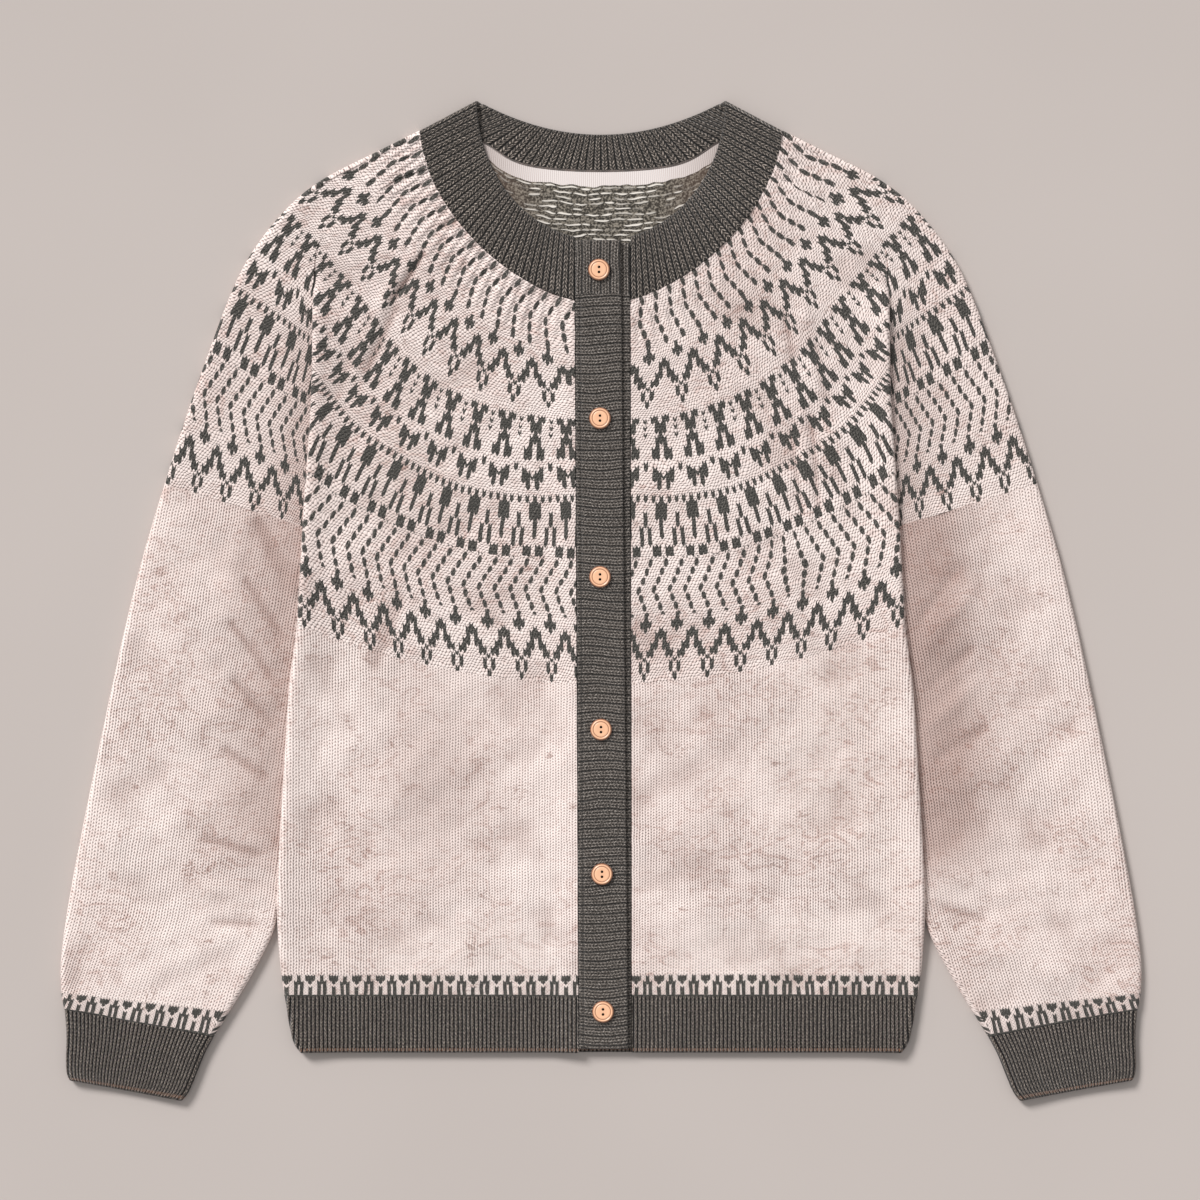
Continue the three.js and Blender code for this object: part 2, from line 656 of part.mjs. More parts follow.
// The two front bands: long strips that lap over each other down the centre.
function band(name, shape, mid) {
  const grid = steps(0, 1, 15).map((v) => [0, 0.5, 1].map((u) => {
    const left = mix(shape.left[0], shape.left[1], v);
    const right = mix(shape.right[0], shape.right[1], v);
    return new THREE.Vector3(mix(left, right, u), mix(shape.top, BAND_FOOT, v), mid);
  }));
  addPiece(name, wall(grid, RIB), charcoal);
}

// A turned button with a shallow groove inside its rim and two holes.
async function buttonMaker() {
  const wasm = await Module();
  wasm.setup();
  const toSolid = (geometry) => {
    geometry.deleteAttribute('normal');
    geometry.deleteAttribute('uv');
    const merged = mergeVertices(geometry, 1e-4);
    return new wasm.Manifold(new wasm.Mesh({
      numProp: 3,
      vertProperties: new Float32Array(merged.attributes.position.array),
      triVerts: new Uint32Array(merged.index.array),
    }));
  };
  const { radius, thickness, groove, hole, holeFromCentre } = BUTTON;
  const profile = [
    [0, 0], [radius - 0.9, 0], [radius, 0.8], [radius, thickness - 0.7], [radius - 0.6, thickness],
    [groove + 0.6, thickness], [groove, thickness - 0.45], [groove - 0.6, thickness - 0.1],
    [0, thickness - 0.25],
  ].map(([out, high]) => point(out, high));
  let body = toSolid(new THREE.LatheGeometry(profile, 26).rotateX(Math.PI / 2));
  for (const sign of [-1, 1]) {
    const drill = new THREE.CylinderGeometry(hole, hole, 3 * thickness, 12).rotateX(Math.PI / 2);
    body = body.subtract(toSolid(drill.translate(0, sign * holeFromCentre, thickness / 2)));
  }
  const { vertProperties, triVerts } = body.getMesh();
  return () => closedGeometry([...vertProperties], [...triVerts]);
}

for (const each of sides) {
  frontPieces(each);
  yokeSleeve(each);
  sleeve(each);
  neckbandFront(each);
}
backPieces();
band('button_band', UNDER_BAND, UNDER_BAND_MID);
band('buttonhole_band', TOP_BAND, TOP_BAND_MID);

const makeButton = await buttonMaker();
BUTTON_PLACES.forEach((place, index) => {
  const button = addPiece(`button_${index + 1}`, makeButton(), peach);
  button.position.set(place.out, place.up, TOP_BAND_MID + RIB / 2 + SEAM);
});

export default cardigan;
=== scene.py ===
# %% [markdown]
# # A fair isle cardigan, laid flat and buttoned
#
# The cardigan lies on a table, front up. Each piece is a wall of knitted cloth: a grid of points
# for the middle of the cloth, thickened to both sides. The folds are the same as in the packed
# model, only finer. Ribs, creases and rolled edges are real shape. The stitches are too small for
# that, so the materials draw them from two numbers kept in every point: the stitch, counted
# across the cloth, and the row, counted down it.

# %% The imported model
import math

import bpy
import numpy as np
from mathutils import Matrix


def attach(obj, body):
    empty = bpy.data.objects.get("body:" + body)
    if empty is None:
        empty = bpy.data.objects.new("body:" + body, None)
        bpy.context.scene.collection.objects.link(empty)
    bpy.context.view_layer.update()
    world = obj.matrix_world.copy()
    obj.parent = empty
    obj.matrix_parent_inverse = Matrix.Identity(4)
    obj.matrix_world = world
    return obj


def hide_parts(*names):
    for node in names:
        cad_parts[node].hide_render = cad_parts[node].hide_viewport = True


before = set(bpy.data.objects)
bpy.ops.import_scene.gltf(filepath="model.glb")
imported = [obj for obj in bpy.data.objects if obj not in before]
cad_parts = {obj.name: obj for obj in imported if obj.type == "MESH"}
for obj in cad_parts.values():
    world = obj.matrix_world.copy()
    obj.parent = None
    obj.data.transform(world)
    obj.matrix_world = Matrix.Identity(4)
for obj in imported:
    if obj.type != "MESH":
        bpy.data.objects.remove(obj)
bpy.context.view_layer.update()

# %% [markdown]
# ## Sizes
#
# Sizes are in millimetres, as on a paper pattern, and turn into metres when a mesh is made. "Out"
# is the distance from the centre line, and "up" the height towards the neck.

# %% Walls and folds
# Thickness of the knitting and of the ribbing, and the gap at a seam
CLOTH, RIB, SEAM = 2.4, 2.8, 0.3
# Height of the middle of each layer above the table
FRONT_MID, RIB_FRONT_MID = 4.2, 4.6
UNDER_BAND_MID, TOP_BAND_MID = 4.6, 7.8
# The ridge at the body's side: its top, the radius of its turn, and how far its slope reaches
RIDGE_TOP, RIDGE_TURN, RIDGE_REACH = 10.4, 2.2, 15
# The strip that turns under, its distance from the back, and how far a sleeve is tucked in
TAIL, TAIL_CLEAR, SLEEVE_TUCK = 12, 1.2, 0.9
# The roll at a shoulder's outer edge: its height, its reach, and the strip that turns under
SHOULDER_RISE, SHOULDER_REACH, SHOULDER_TAIL = 4.8, 17, 9
# Heights of the seam above the hem, of the hem's foot and of the bands' foot
HEM_TOP, HEM_FOOT, BAND_FOOT = -276, -315.5, -312.5
# The angle round the neck where the fold between front and shoulder starts
RAGLAN_AT_NECK = 1.293

# The neck's lines in front are rounded arches, and the others dip towards their middle.
NECK_SEAM = {"half": 126.7, "depth": 122, "top": 329, "fullness": 1.7}
NECK_EDGE = {"half": 86.8, "depth": 98, "top": 350, "fullness": 2}
BACK_SEAM = {"low": 301.7, "rise": 27.3, "half": 126.7, "power": 2.2}
BACK_EDGE = {"low": 326.2, "rise": 23.8, "half": 86.8, "power": 2}
YOKE_FOOT = {"low": -58, "rise": 39, "half": 207, "power": 2}
print("neck:", 2 * NECK_SEAM["half"], "mm wide at the seam,", 2 * NECK_EDGE["half"], "at the edge")

# %% Outlines, as (out, up)
FOLD_LINE = [(144, 294), (168.7, 276.5), (186.2, 261), (198.6, 247), (200.8, 212), (202.3, 141),
             (207.2, 70), (212, -17)]
BODY_SIDE = [(212, -17), (217.7, -60), (220.5, -104), (224.7, -174), (226, -215), (224.6, -250),
             (221.3, -276)]
HEM_SIDE = [(221, -276), (217.7, -297), (214.5, -309), (209.5, -315.5)]
SHOULDER = [(126.7, 329), (154, 315.5), (194.6, 294.7), (221, 273), (245, 242), (260.4, 210.7),
            (276, 168.7), (291, 126), (305, 82)]
BACK_RAGLAN = [(106, 319.8), (150, 290), (180, 260), (197, 225), (201.5, 180), (202.2, 125),
               (206, 52)]
SLEEVE_INNER = [(206.8, 52), (209.4, 5), (213.6, -45), (217.8, -95), (221, -145), (223.4, -190),
                (227.5, -226), (243, -259), (261, -289), (270.4, -304)]
SLEEVE_OUTER = [(305, 82), (320, 32), (333, -20), (344, -70), (354.5, -120), (365, -172),
                (373, -216), (377.5, -252), (377, -275), (375, -285)]
CUFF_INNER = [(270.6, -304.4), (277.2, -317), (283.6, -333), (288, -343), (293, -349.2)]
CUFF_OUTER = [(375, -285.4), (373.8, -303), (374.2, -321), (373.4, -330), (371, -334.8)]
TOP_BAND = {"left": (-18.2, -15.2), "right": (13.8, 18.8), "top": 252}
UNDER_BAND = {"left": (-12, -10), "right": (20.4, 21.4), "top": 250}
FRONT_EDGE = {-1: (-18.7, -15.7), 1: (20.7, 21.7)}
BUTTONS = [(-1.4, 231), (-0.7, 127.4), (-0.7, 16.8), (0, -89.6), (0.7, -190.4), (1.4, -286.3)]
BUTTON = {"radius": 7.5, "thickness": 2.6, "groove": 5.4, "hole": 0.95, "apart": 1.75}
print("buttons:", len(BUTTONS), "of", 2 * BUTTON["radius"], "mm")

# %% [markdown]
# ## Lines and steps
#
# A curve through a few places is drawn with Catmull-Rom pieces, which pass through every place.
# It is asked for by share of its length, so that rows of cloth come out evenly spaced.


# %% Small helpers
def mix(a, b, t):
    return a + (b - a) * t


def ease(start, end, x):
    t = np.clip((x - start) / (end - start), 0, 1)
    return t * t * (3 - 2 * t)


def unit(vector):
    return vector / np.linalg.norm(vector)


def curve_through(places, even=True, samples=900):
    """The curve, asked for by share of its length, or of its places if even is False."""
    p = np.array(places, float)
    padded = np.vstack([p[:1], p, p[-1:]])
    knot = np.linspace(0, len(p) - 1, samples)
    k = np.minimum(knot.astype(int), len(p) - 2)
    t = (knot - k)[:, None]
    before, here, following, after = (padded[k + i] for i in range(4))
    leave, arrive = (following - before) / 2, (after - here) / 2
    line = ((2 * here - 2 * following + leave + arrive) * t**3
            + (3 * following - 3 * here - 2 * leave - arrive) * t**2 + leave * t + here)
    run = np.concatenate([[0], np.cumsum(np.linalg.norm(np.diff(line, axis=0), axis=1))])
    share = run / run[-1] if even else knot / knot[-1]
    return lambda s: np.stack([np.interp(s, share, line[:, 0]),
                               np.interp(s, share, line[:, 1])], -1)


def neckline(line, angle):
    """A rounded arch: its lowest place is at angle 0, and its top, at the side, at a right angle."""
    bend = 2 / line["fullness"]
    return np.stack([line["half"] * np.sin(angle) ** bend,
                     line["top"] - line["depth"] * np.maximum(np.cos(angle), 0) ** bend], -1)


def neck_angle(line, out):
    return math.asin((out / line["half"]) ** (line["fullness"] / 2))


def dipped(line, out):
    """How far up a line is that is lowest in the middle."""
    return line["low"] + line["rise"] * (np.abs(out) / line["half"]) ** line["power"]


def stations(length, spacing, lips="", half=1.2):
    """Shares of a length, close together where an edge is rounded: lips names 'start', 'end'."""
    near = np.array([0, 0.12, 0.45, 1.0]) * half
    inner = np.linspace(near[-1] if "start" in lips else 0,
                        length - (near[-1] if "end" in lips else 0),
                        max(3, round(length / spacing) + 1))
    start = near[:-1] if "start" in lips else []
    end = length - near[-2::-1] if "end" in lips else []
    return np.concatenate([start, inner, end]) / length


fold_line = curve_through([neckline(NECK_SEAM, RAGLAN_AT_NECK)] + FOLD_LINE)
body_side, hem_side = curve_through(BODY_SIDE), curve_through(HEM_SIDE)
shoulder, back_raglan = curve_through(SHOULDER), curve_through(BACK_RAGLAN)
fold_places = fold_line(np.linspace(0, 1, 800))
sleeve_share = float(np.interp(-SLEEVE_INNER[0][1], -fold_places[:, 1], np.linspace(0, 1, 800)))
print("the sleeve leaves the yoke", round(100 * sleeve_share), "% down the fold line")

# %% [markdown]
# ## From a grid to a wall of cloth
#
# The wall's two faces stand half a thickness to each side of the grid. Ribs are a relief: each
# face sinks a little between two ribs. Along a free edge the wall thins to a round lip, because
# knitting has no square edges.


# %% Directions and lips of a grid
def grid_normals(grid, closed):
    if closed:
        across = np.roll(grid, -1, 1) - np.roll(grid, 1, 1)
    else:
        across = np.gradient(grid, axis=1)
    normals = np.cross(across, np.gradient(grid, axis=0))
    normals /= np.linalg.norm(normals, axis=2, keepdims=True) + 1e-12
    return normals * (1 if normals[:, 0, 2].mean() > 0 else -1)


def lip(grid, edges, half):
    """How much of the wall's thickness is left near its free edges, from 0 to 1."""
    left = np.ones(grid.shape[:2])
    for edge in edges:
        axis = 0 if edge in ("top", "bottom") else 1
        lengths = np.linalg.norm(np.diff(grid, axis=axis), axis=2)
        run = np.cumsum(np.insert(lengths, 0, 0, axis=axis), axis=axis)
        away = run if edge in ("top", "left") else run.take([-1], axis=axis) - run
        left *= np.sqrt(1 - (1 - np.clip(away / half, 0, 1)) ** 2) * 0.9 + 0.1
    return left


flat_patch = np.array([[(0.0, 0, 0), (1, 0, 0)], [(0, -1, 0), (1, -1, 0)]])
print("a grid that runs down and out faces", grid_normals(flat_patch, False)[0, 0])


# %% The wall maker
def wall_quads(rows, columns, closed):
    """The corners of every face, as (layer, row, column): both faces of the cloth, then its edges."""
    j, i = np.meshgrid(np.arange(rows - 1), np.arange(columns if closed else columns - 1),
                       indexing="ij")
    j, i = j.ravel(), i.ravel()
    corners = [(0, j, i), (0, j, i + 1), (0, j + 1, i + 1), (0, j + 1, i)]
    quads = [corners, [(1, c[1], c[2]) for c in corners[::-1]]]
    last = columns - 1
    run = np.arange(columns if closed else last)
    for row, flip in ((0, 1), (rows - 1, -1)):
        at = np.full_like(run, row)
        quads.append([(1, at, run), (1, at, run + 1), (0, at, run + 1), (0, at, run)][::flip])
    if not closed:
        run = np.arange(rows - 1)
        for column, flip in ((0, -1), (last, 1)):
            at = np.full_like(run, column)
            quads.append([(1, run, at), (1, run + 1, at), (0, run + 1, at), (0, run, at)][::flip])
    return quads


SHARP_EDGE = math.radians(62)


def wall(name, grid, thickness, counts, material, relief=0, edges=(), closed=False, inside=None,
         shade=0):
    """grid is (rows, columns, 3) in millimetres; counts holds stitch and row for every point."""
    rows, columns = grid.shape[:2]
    normals = grid_normals(grid, closed)
    offset = (thickness / 2 + relief) * lip(grid, edges, thickness / 2)
    points = np.concatenate([(grid + normals * (offset * side)[..., None]).reshape(-1, 3)
                             for side in (1, -1)])
    points[:, 2] = np.maximum(points[:, 2], 0)
    quads = wall_quads(rows, columns, closed)
    faces = np.concatenate([
        np.stack([layer * rows * columns + row * columns + column % columns
                  for layer, row, column in quad], -1) for quad in quads])
    if counts.shape[1] == columns:
        counts = np.concatenate([counts, counts[:, :1]], 1)
    loop_counts = np.concatenate([
        np.stack([counts[row, column] for _, row, column in quad], 1) for quad in quads])
    a, b, c, d = (points[faces[:, k]] for k in range(4))
    volume = (np.einsum("ij,ij->i", a, np.cross(b, c)) + np.einsum("ij,ij->i", a, np.cross(c, d)))
    if volume.sum() < 0:
        faces, loop_counts = faces[:, ::-1], loop_counts[:, ::-1]
    mesh = bpy.data.meshes.new(name)
    mesh.from_pydata((points / 1000).tolist(), [], faces.tolist())
    stitch_map = mesh.uv_layers.new(name="Stitches")
    stitch_map.data.foreach_set("uv", loop_counts.reshape(-1).astype(np.float32))
    # The shade given here is painted into the cloth's colour, from 0 for none to 1 for full.
    painted_shade = mesh.attributes.new("Furrow", "FLOAT", "POINT")
    painted_shade.data.foreach_set("value", np.tile(np.broadcast_to(shade, (rows, columns)).ravel(), 2))
    mesh.shade_smooth()
    mesh.set_sharp_from_angle(angle=SHARP_EDGE)
    mesh.materials.append(material)
    if inside:
        mesh.materials.append(inside)
        index = np.zeros(len(faces), np.int32)
        index[:(rows - 1) * (columns - 1)] = 1
        mesh.polygons.foreach_set("material_index", index)
    piece = bpy.data.objects.new(name, mesh)
    bpy.context.collection.objects.link(piece)
    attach(piece, "root")
    return piece


print("a patch of 2 by 2 points makes", sum(len(q[0][1]) for q in wall_quads(2, 2, False)), "faces")

# %% [markdown]
# ## Cloth that turns over
#
# At the side of the body the front rises to a rounded ridge, turns over and comes back under
# itself. The path of the turn is a run of short steps whose heading swings round, and its last
# step is the edge lying on the table. Higher up, where sleeve and body are one cloth, the turn
# fades to nothing.

# %% The turn and the folded cloth
ARC_STEPS, FLAT_EDGE = 9, 0.8


def fold_path(top, turn, thickness, tail, strength):
    """Distance in from the widest place, height and travel, for each step of the turn."""
    floor, centre_up = thickness / 2, top - turn
    to_tail = np.array([tail - turn - thickness / 2, centre_up - floor])
    reach = np.linalg.norm(to_tail)
    full = 1.5 * math.pi - math.atan2(to_tail[1], to_tail[0]) - math.acos(min(1, turn / reach))
    step = turn * full / ARC_STEPS
    swings = np.full(ARC_STEPS, strength * full / ARC_STEPS)
    swings[0] /= 2
    heading = np.cumsum(swings)
    out = np.concatenate([[0], np.cumsum(step * np.cos(heading))])
    high = top - np.concatenate([[0], np.cumsum(step * np.sin(heading))])
    travel = np.arange(ARC_STEPS + 1) * step
    edge = mix(FLAT_EDGE, math.sqrt(reach**2 - turn**2), strength)
    end_out = out[-1] + edge * math.cos(strength * full)
    end_high = max(1.5 * thickness + SEAM, high[-1] - edge * math.sin(strength * full))
    widest = max(out.max() + strength * thickness / 2, end_out)
    out = np.append(out, end_out)
    high = np.append(high, mix(end_high, floor, ease(0.9, 1, strength)))
    travel = np.append(travel, travel[-1] + edge) - turn * math.pi / 2
    return widest - out, high, travel


print("a full fold takes in", round(float(fold_path(RIDGE_TOP, RIDGE_TURN, CLOTH, TAIL, 1)[0][0]), 1),
      "mm of the front's width")


# %% The folded cloth
def folded_cloth(plan, layer, fold, across, down, thickness, along=(0, 0)):
    """Rows of cloth from the inner edge to the fold and round it. Also gives where each point
    would lie with the fold opened flat, which is what its stitches are counted from."""
    along, grid, opened = np.array(along, float), [], []
    for v in down:
        top, turn, tail, strength = fold(v)
        tip = plan(np.array([1.0]), v)[0]
        inward = unit(plan(np.array([0.94]), v)[0] - tip)
        length = np.linalg.norm(plan(np.array([0.0]), v)[0] - tip)
        start = fold_path(top, turn, thickness, tail, strength)[0][0]
        turn_line = tip + inward * start
        shift = turn_line - plan(np.array([1 - start / length]), v)[0]
        place = plan(across * (1 - start / length), v) + shift * across[:, None] ** 4
        from_turn = np.linalg.norm(place - turn_line, axis=1) / RIDGE_REACH
        base = layer(place)
        high = base + (top - base) * strength * np.exp(-from_turn**1.5)
        inset, turned_high, travel = fold_path(high[-1], turn, thickness, tail, strength)
        square = inward - along * (inward @ along)
        slide = -(inward @ along) / np.linalg.norm(square)
        under = tip + unit(square) * inset[1:, None] + along * slide * travel[1:, None]
        grid.append(np.column_stack([np.vstack([place, under]),
                                     np.concatenate([high, turned_high[1:]])]))
        beyond = turn_line - inward * (travel[1:] - travel[0])[:, None]
        opened.append(np.vstack([place, beyond]))
    return np.array(grid), np.array(opened)


def coons(start, end, inner, outer):
    """A patch between four edges that meet at its corners: plan(shares across, share down)."""
    corners = [start(np.array([0.0]))[0], start(np.array([1.0]))[0],
               end(np.array([0.0]))[0], end(np.array([1.0]))[0]]

    def plan(u, v):
        u = u[:, None]
        across = mix(start(u[:, 0]), end(u[:, 0]), v)
        along = mix(inner(v), outer(v), u)
        return across + along - mix(mix(corners[0], corners[1], u),
                                    mix(corners[2], corners[3], u), v)
    return plan


# %% [markdown]
# ## Creases and hang
#
# Knitting that has been patted flat still holds a few soft puckers. Each is a line with a height
# and a width, a ridge if the height is positive and a trough if it is negative, dying away at its
# ends. They are placed one by one, and the layer underneath has its own. Shade is also painted
# into the cloth's colour in the troughs.

# %% Crease tables: side, from (out, up), to (out, up), height, width
CREASES = [
    (-1, (124, 242), (146, 210), -2.3, 2.4), (-1, (131, 242), (153, 210), 1.8, 4),
    (-1, (152, 210), (172, 160), 2.1, 5.0), (-1, (143, 206), (162, 164), -1.3, 4.0),
    (-1, (102, 266), (111, 261), -1.6, 3), (-1, (190, 268), (176, 240), 0.9, 7),
    (-1, (160, 200), (182, 150), -0.7, 6), (-1, (150, 120), (178, 88), 0.7, 9),
    (-1, (60, 20), (84, -18), 0.5, 14), (-1, (140, 2), (158, -44), -1.1, 6),
    (-1, (176, 40), (190, -12), 1.0, 9), (-1, (160, -60), (186, -110), 0.9, 12),
    (-1, (120, -96), (150, -150), 0.9, 14), (-1, (40, -120), (52, -236), 0.9, 16),
    (-1, (92, -180), (84, -262), 0.8, 12), (-1, (186, -150), (170, -262), 0.9, 12),
    (1, (128, 200), (134, 168), -1.1, 3.5), (1, (136, 232), (142, 196), 1.2, 5),
    (1, (142, 196), (150, 150), 1.4, 6), (1, (140, 128), (146, 60), 1.3, 3.5),
    (1, (147, 128), (152, 62), -1.1, 3), (1, (133, 120), (139, 66), -0.9, 3),
    (1, (150, 176), (158, 140), -0.9, 4), (1, (162, 96), (176, 60), -0.6, 6),
    (1, (66, 10), (80, -50), 0.5, 14), (1, (186, 20), (196, -40), 0.9, 9),
    (1, (150, -70), (176, -126), 0.9, 12), (1, (60, -110), (66, -220), 0.9, 16),
    (1, (112, -150), (104, -250), 0.8, 13), (1, (190, -140), (176, -256), 0.9, 12),
]
SLEEVE_CREASES = [
    (-1, (222, -26), (248, 14), -1.7, 3.4), (-1, (228, -40), (258, 2), 1.6, 4),
    (-1, (228, -56), (258, -16), -1.6, 3.4), (-1, (232, -72), (266, -34), 1.5, 4.5),
    (-1, (230, -86), (256, -56), -1.5, 3.6), (-1, (234, -104), (268, -78), 1.2, 5),
    (-1, (236, -122), (262, -104), -1.4, 4), (-1, (222, 20), (240, 56), -1.2, 5),
    (-1, (246, 60), (262, 10), 1.0, 9), (-1, (240, -130), (300, -160), 1.1, 9),
    (-1, (240, -176), (276, -166), -1.2, 4.5), (-1, (236, -206), (282, -200), 1.2, 6),
    (-1, (240, -226), (270, -224), -1.0, 4), (-1, (290, 10), (310, -60), 0.9, 14),
    (-1, (330, -90), (340, -160), 0.9, 12), (-1, (262, -236), (320, -262), 1.0, 9),
    (1, (220, -18), (246, 18), -1.4, 4), (1, (228, -30), (258, 6), 1.4, 5),
    (1, (230, -60), (258, -34), -1.3, 4), (1, (232, -84), (264, -56), 1.2, 5),
    (1, (236, -110), (266, -90), -1.3, 4.5), (1, (240, -140), (296, -172), 1.1, 9),
    (1, (236, -186), (280, -206), 1.1, 7), (1, (240, -214), (266, -222), -1.0, 4),
    (1, (294, 0), (312, -70), 0.9, 14), (1, (266, -240), (322, -266), 1.0, 9),
    (1, (240, 60), (262, 30), 0.9, 8), (1, (318, -120), (334, -170), 0.9, 9),
]
BACK_CREASES = [
    (1, (20, 240), (60, 180), 0.8, 10), (-1, (30, 60), (70, 0), 0.7, 12),
    (1, (120, -40), (150, -120), 0.8, 12), (-1, (110, -120), (90, -230), 0.8, 12),
]


print(len(CREASES) + len(SLEEVE_CREASES) + len(BACK_CREASES), "creases placed")


# %% Heights and shades from the tables
def crease_height(table, side, place):
    height = np.zeros(place.shape[:-1])
    for _, start, end, rise, width in (row for row in table if row[0] == side):
        start, line = np.array(start, float), np.subtract(end, start).astype(float)
        rest = place - start
        t = np.clip(rest @ line / (line @ line), 0, 1)
        away = np.linalg.norm(rest - t[..., None] * line, axis=-1) / width
        height += rise * np.exp(-away * away)
    return height


# The waves of a laid cloth: length, direction in degrees, height
WAVES = [(60, 15, 0.45), (38, 80, 0.4), (24, -50, 0.3), (15, 35, 0.2), (11, 110, 0.16), (8, -20, 0.1)]


def hang(place, side):
    """A slow unevenness, about half a millimetre, that every laid cloth has."""
    x, y = place[..., 0] * side, place[..., 1]
    bend = 9 * np.sin(y / 33) + 7 * np.sin(x / 27 + 1)
    height = 0
    for length, turn, rise in WAVES:
        turn = math.radians(turn)
        along = x * math.cos(turn) + y * math.sin(turn) + bend * (length / 40 + 0.4)
        height = height + rise * np.sin(2 * along / length * 1.6 + length)
    return height


# Painted shade in a trough: the depth that is fully shaded, and the shade's share of its width
DEEP_TROUGH, SHADE_WIDTH = 1.5, 0.7
# Painted shade in the hang's low places: its strength, and the depth where it starts
HANG_SHADE, HANG_LEVEL = 0.45, 0.25


def shade_of(table, side, place):
    """How much shade is painted into the colour, from 0 to 1 in a deep trough. It is narrower than the
    trough.
    """
    troughs = [(*row[:3], -row[3] / DEEP_TROUGH, row[4] * SHADE_WIDTH)
               for row in table if row[3] < 0]
    # Shade is also painted in the low places of the hang
    low = HANG_SHADE * np.clip(-hang(place, side) - HANG_LEVEL, 0, 1)
    return np.clip(crease_height(troughs, side, place) + low, 0, 1)


print("hang at the centre:", round(float(hang(np.array([0.0, 0.0]), 1)), 2), "mm")

# %% [markdown]
# ## Counting stitches on a round yoke
#
# A yoke is knitted in rounds, and laid flat its rounds sag in wide arcs while its stitches fan
# out from the neck. A few places are known: where the tips and middles of the motifs lie. A thin
# plate bent through those places gives stitch and round everywhere between them. Below the armpit
# the sleeve is tucked under the body and some stitches are hidden, so each has its own plate.

# %% Where the motifs lie: round, then stitch: (out, up)
# A yoke widens by rounds of increases, where every stitch count is multiplied. The counts here are
# those of the spades; the rounds above and below them are brought to the same scale.
WIDEN_ABOVE, START_ABOVE, WIDEN_BELOW = 0.798, 1.95, 1.09


def above_spades(stitch):
    return (stitch - START_ABOVE) / WIDEN_ABOVE


def below_spades(stitch):
    return stitch / WIDEN_BELOW


def counted(scale, places):
    return {scale(stitch): place for stitch, place in places.items()}


ROUNDS_BODY = [
    (34, counted(above_spades, {8.6: (36, 134), 29.2: (85, 146), 49.8: (125, 171),
                                70.4: (153, 204)})),
    (43, counted(above_spades, {4: (24, 113), 12: (46, 114), 28: (88, 122), 44: (125, 139),
                                60: (155, 163), 76: (176, 195)})),
    (53.5, counted(above_spades, {12: (48, 85), 28: (94, 94), 44: (134, 114), 60: (171, 142),
                                  76: (193, 174)})),
    (63.8, {4: (24, 62), 20: (68, 63), 36: (109, 71), 52: (145, 90), 68: (181, 114),
            76: (195, 132)}),
    (74.6, {4: (25, 32), 20: (71, 34), 36: (116, 45), 52: (157, 63), 68: (194, 85)}),
    (86, {12: (50, 6), 36: (121, 15), 52: (163, 30), 66: (203, 46)}),
    (110, counted(below_spades, {8: (34, -57), 24: (78, -54), 40: (122, -47), 56: (161, -36),
                                 72: (207, -19)})),
]
ROUNDS_BOTH = [(34, counted(above_spades, {91: (184, 241), 111.6: (212, 277)})),
               (43, counted(above_spades, {84: (188, 216)}))]
ROUNDS_SLEEVE = [
    (43, counted(above_spades, {92: (198, 232), 108: (224, 253)})),
    (53.5, counted(above_spades, {92: (206, 200), 100: (221, 212), 108: (241, 227)})),
    (63.8, {116: (216, 181), 124: (234, 192), 132: (254, 203)}),
    (74.6, {116: (227, 152), 124: (246, 162), 132: (265, 173)}),
    (110, counted(below_spades, {120: (223, 57), 128: (244, 62), 136: (264, 67), 144: (284, 74),
                                 152: (303, 80)})),
]
FIRST_STITCH, LAST_STITCH = above_spades(3.4), above_spades(113)
print("places known:", sum(len(row) for _, row in ROUNDS_BODY + ROUNDS_BOTH + ROUNDS_SLEEVE))


# %% Bending the plates
def neck_round():
    """Round 0 follows the neck seam, with its stitches evenly spaced."""
    angles = np.linspace(neck_angle(NECK_SEAM, 21.7), math.pi / 2, 300)
    line = neckline(NECK_SEAM, angles)
    run = np.concatenate([[0], np.cumsum(np.linalg.norm(np.diff(line, axis=0), axis=1))])
    picks = np.searchsorted(run, np.linspace(0, run[-1], 9)).clip(0, 299)
    return (0, {mix(FIRST_STITCH, LAST_STITCH, run[k] / run[-1]): tuple(line[k]) for k in picks})


def thin_plate(rounds, give=0.02):
    """Stitch and round at any place, from the known ones; give lets the plate miss them a little."""
    known = np.array([(out, up, stitch, course) for course, row in rounds
                      for stitch, (out, up) in row.items()])
    at, values = known[:, :2] / 100, known[:, 2:]

    def bend(a, b):
        square = ((a[:, None] - b[None]) ** 2).sum(-1)
        return square * np.log(square + 1e-12)
    plain = np.column_stack([np.ones(len(at)), at])
    system = np.block([[bend(at, at) + give * np.eye(len(at)), plain],
                       [plain.T, np.zeros((3, 3))]])
    weights = np.linalg.solve(system, np.vstack([values, np.zeros((3, 2))]))

    def counts(place):
        flat = place.reshape(-1, 2) / 100
        basis = np.column_stack([bend(flat, at), np.ones(len(flat)), flat])
        return (basis @ weights).reshape(place.shape)
    return counts


neck = [neck_round()]
plate_body = thin_plate(neck + ROUNDS_BODY + ROUNDS_BOTH)
plate_sleeve = thin_plate(neck + ROUNDS_BOTH + ROUNDS_SLEEVE)
plate_all = thin_plate(neck + ROUNDS_BODY + ROUNDS_BOTH + ROUNDS_SLEEVE)


RIGHT_SHIFT = 4


def yoke_counts(place, side, plate):
    """Stitch and round at a place. The right front's pattern lies a little nearer to the centre."""
    place = place.copy()
    if side > 0:
        place[..., 0] += RIGHT_SHIFT * (1 - ease(60, 205, place[..., 0]))
    shared = ease(222, 256, place[..., 1])[..., None]
    counts = mix(plate(place), plate_all(place), shared)
    counts[..., 0] *= side
    return counts


print("stitch and round at the left shoulder:", plate_all(np.array([[200.0, 280.0]])).round(1))

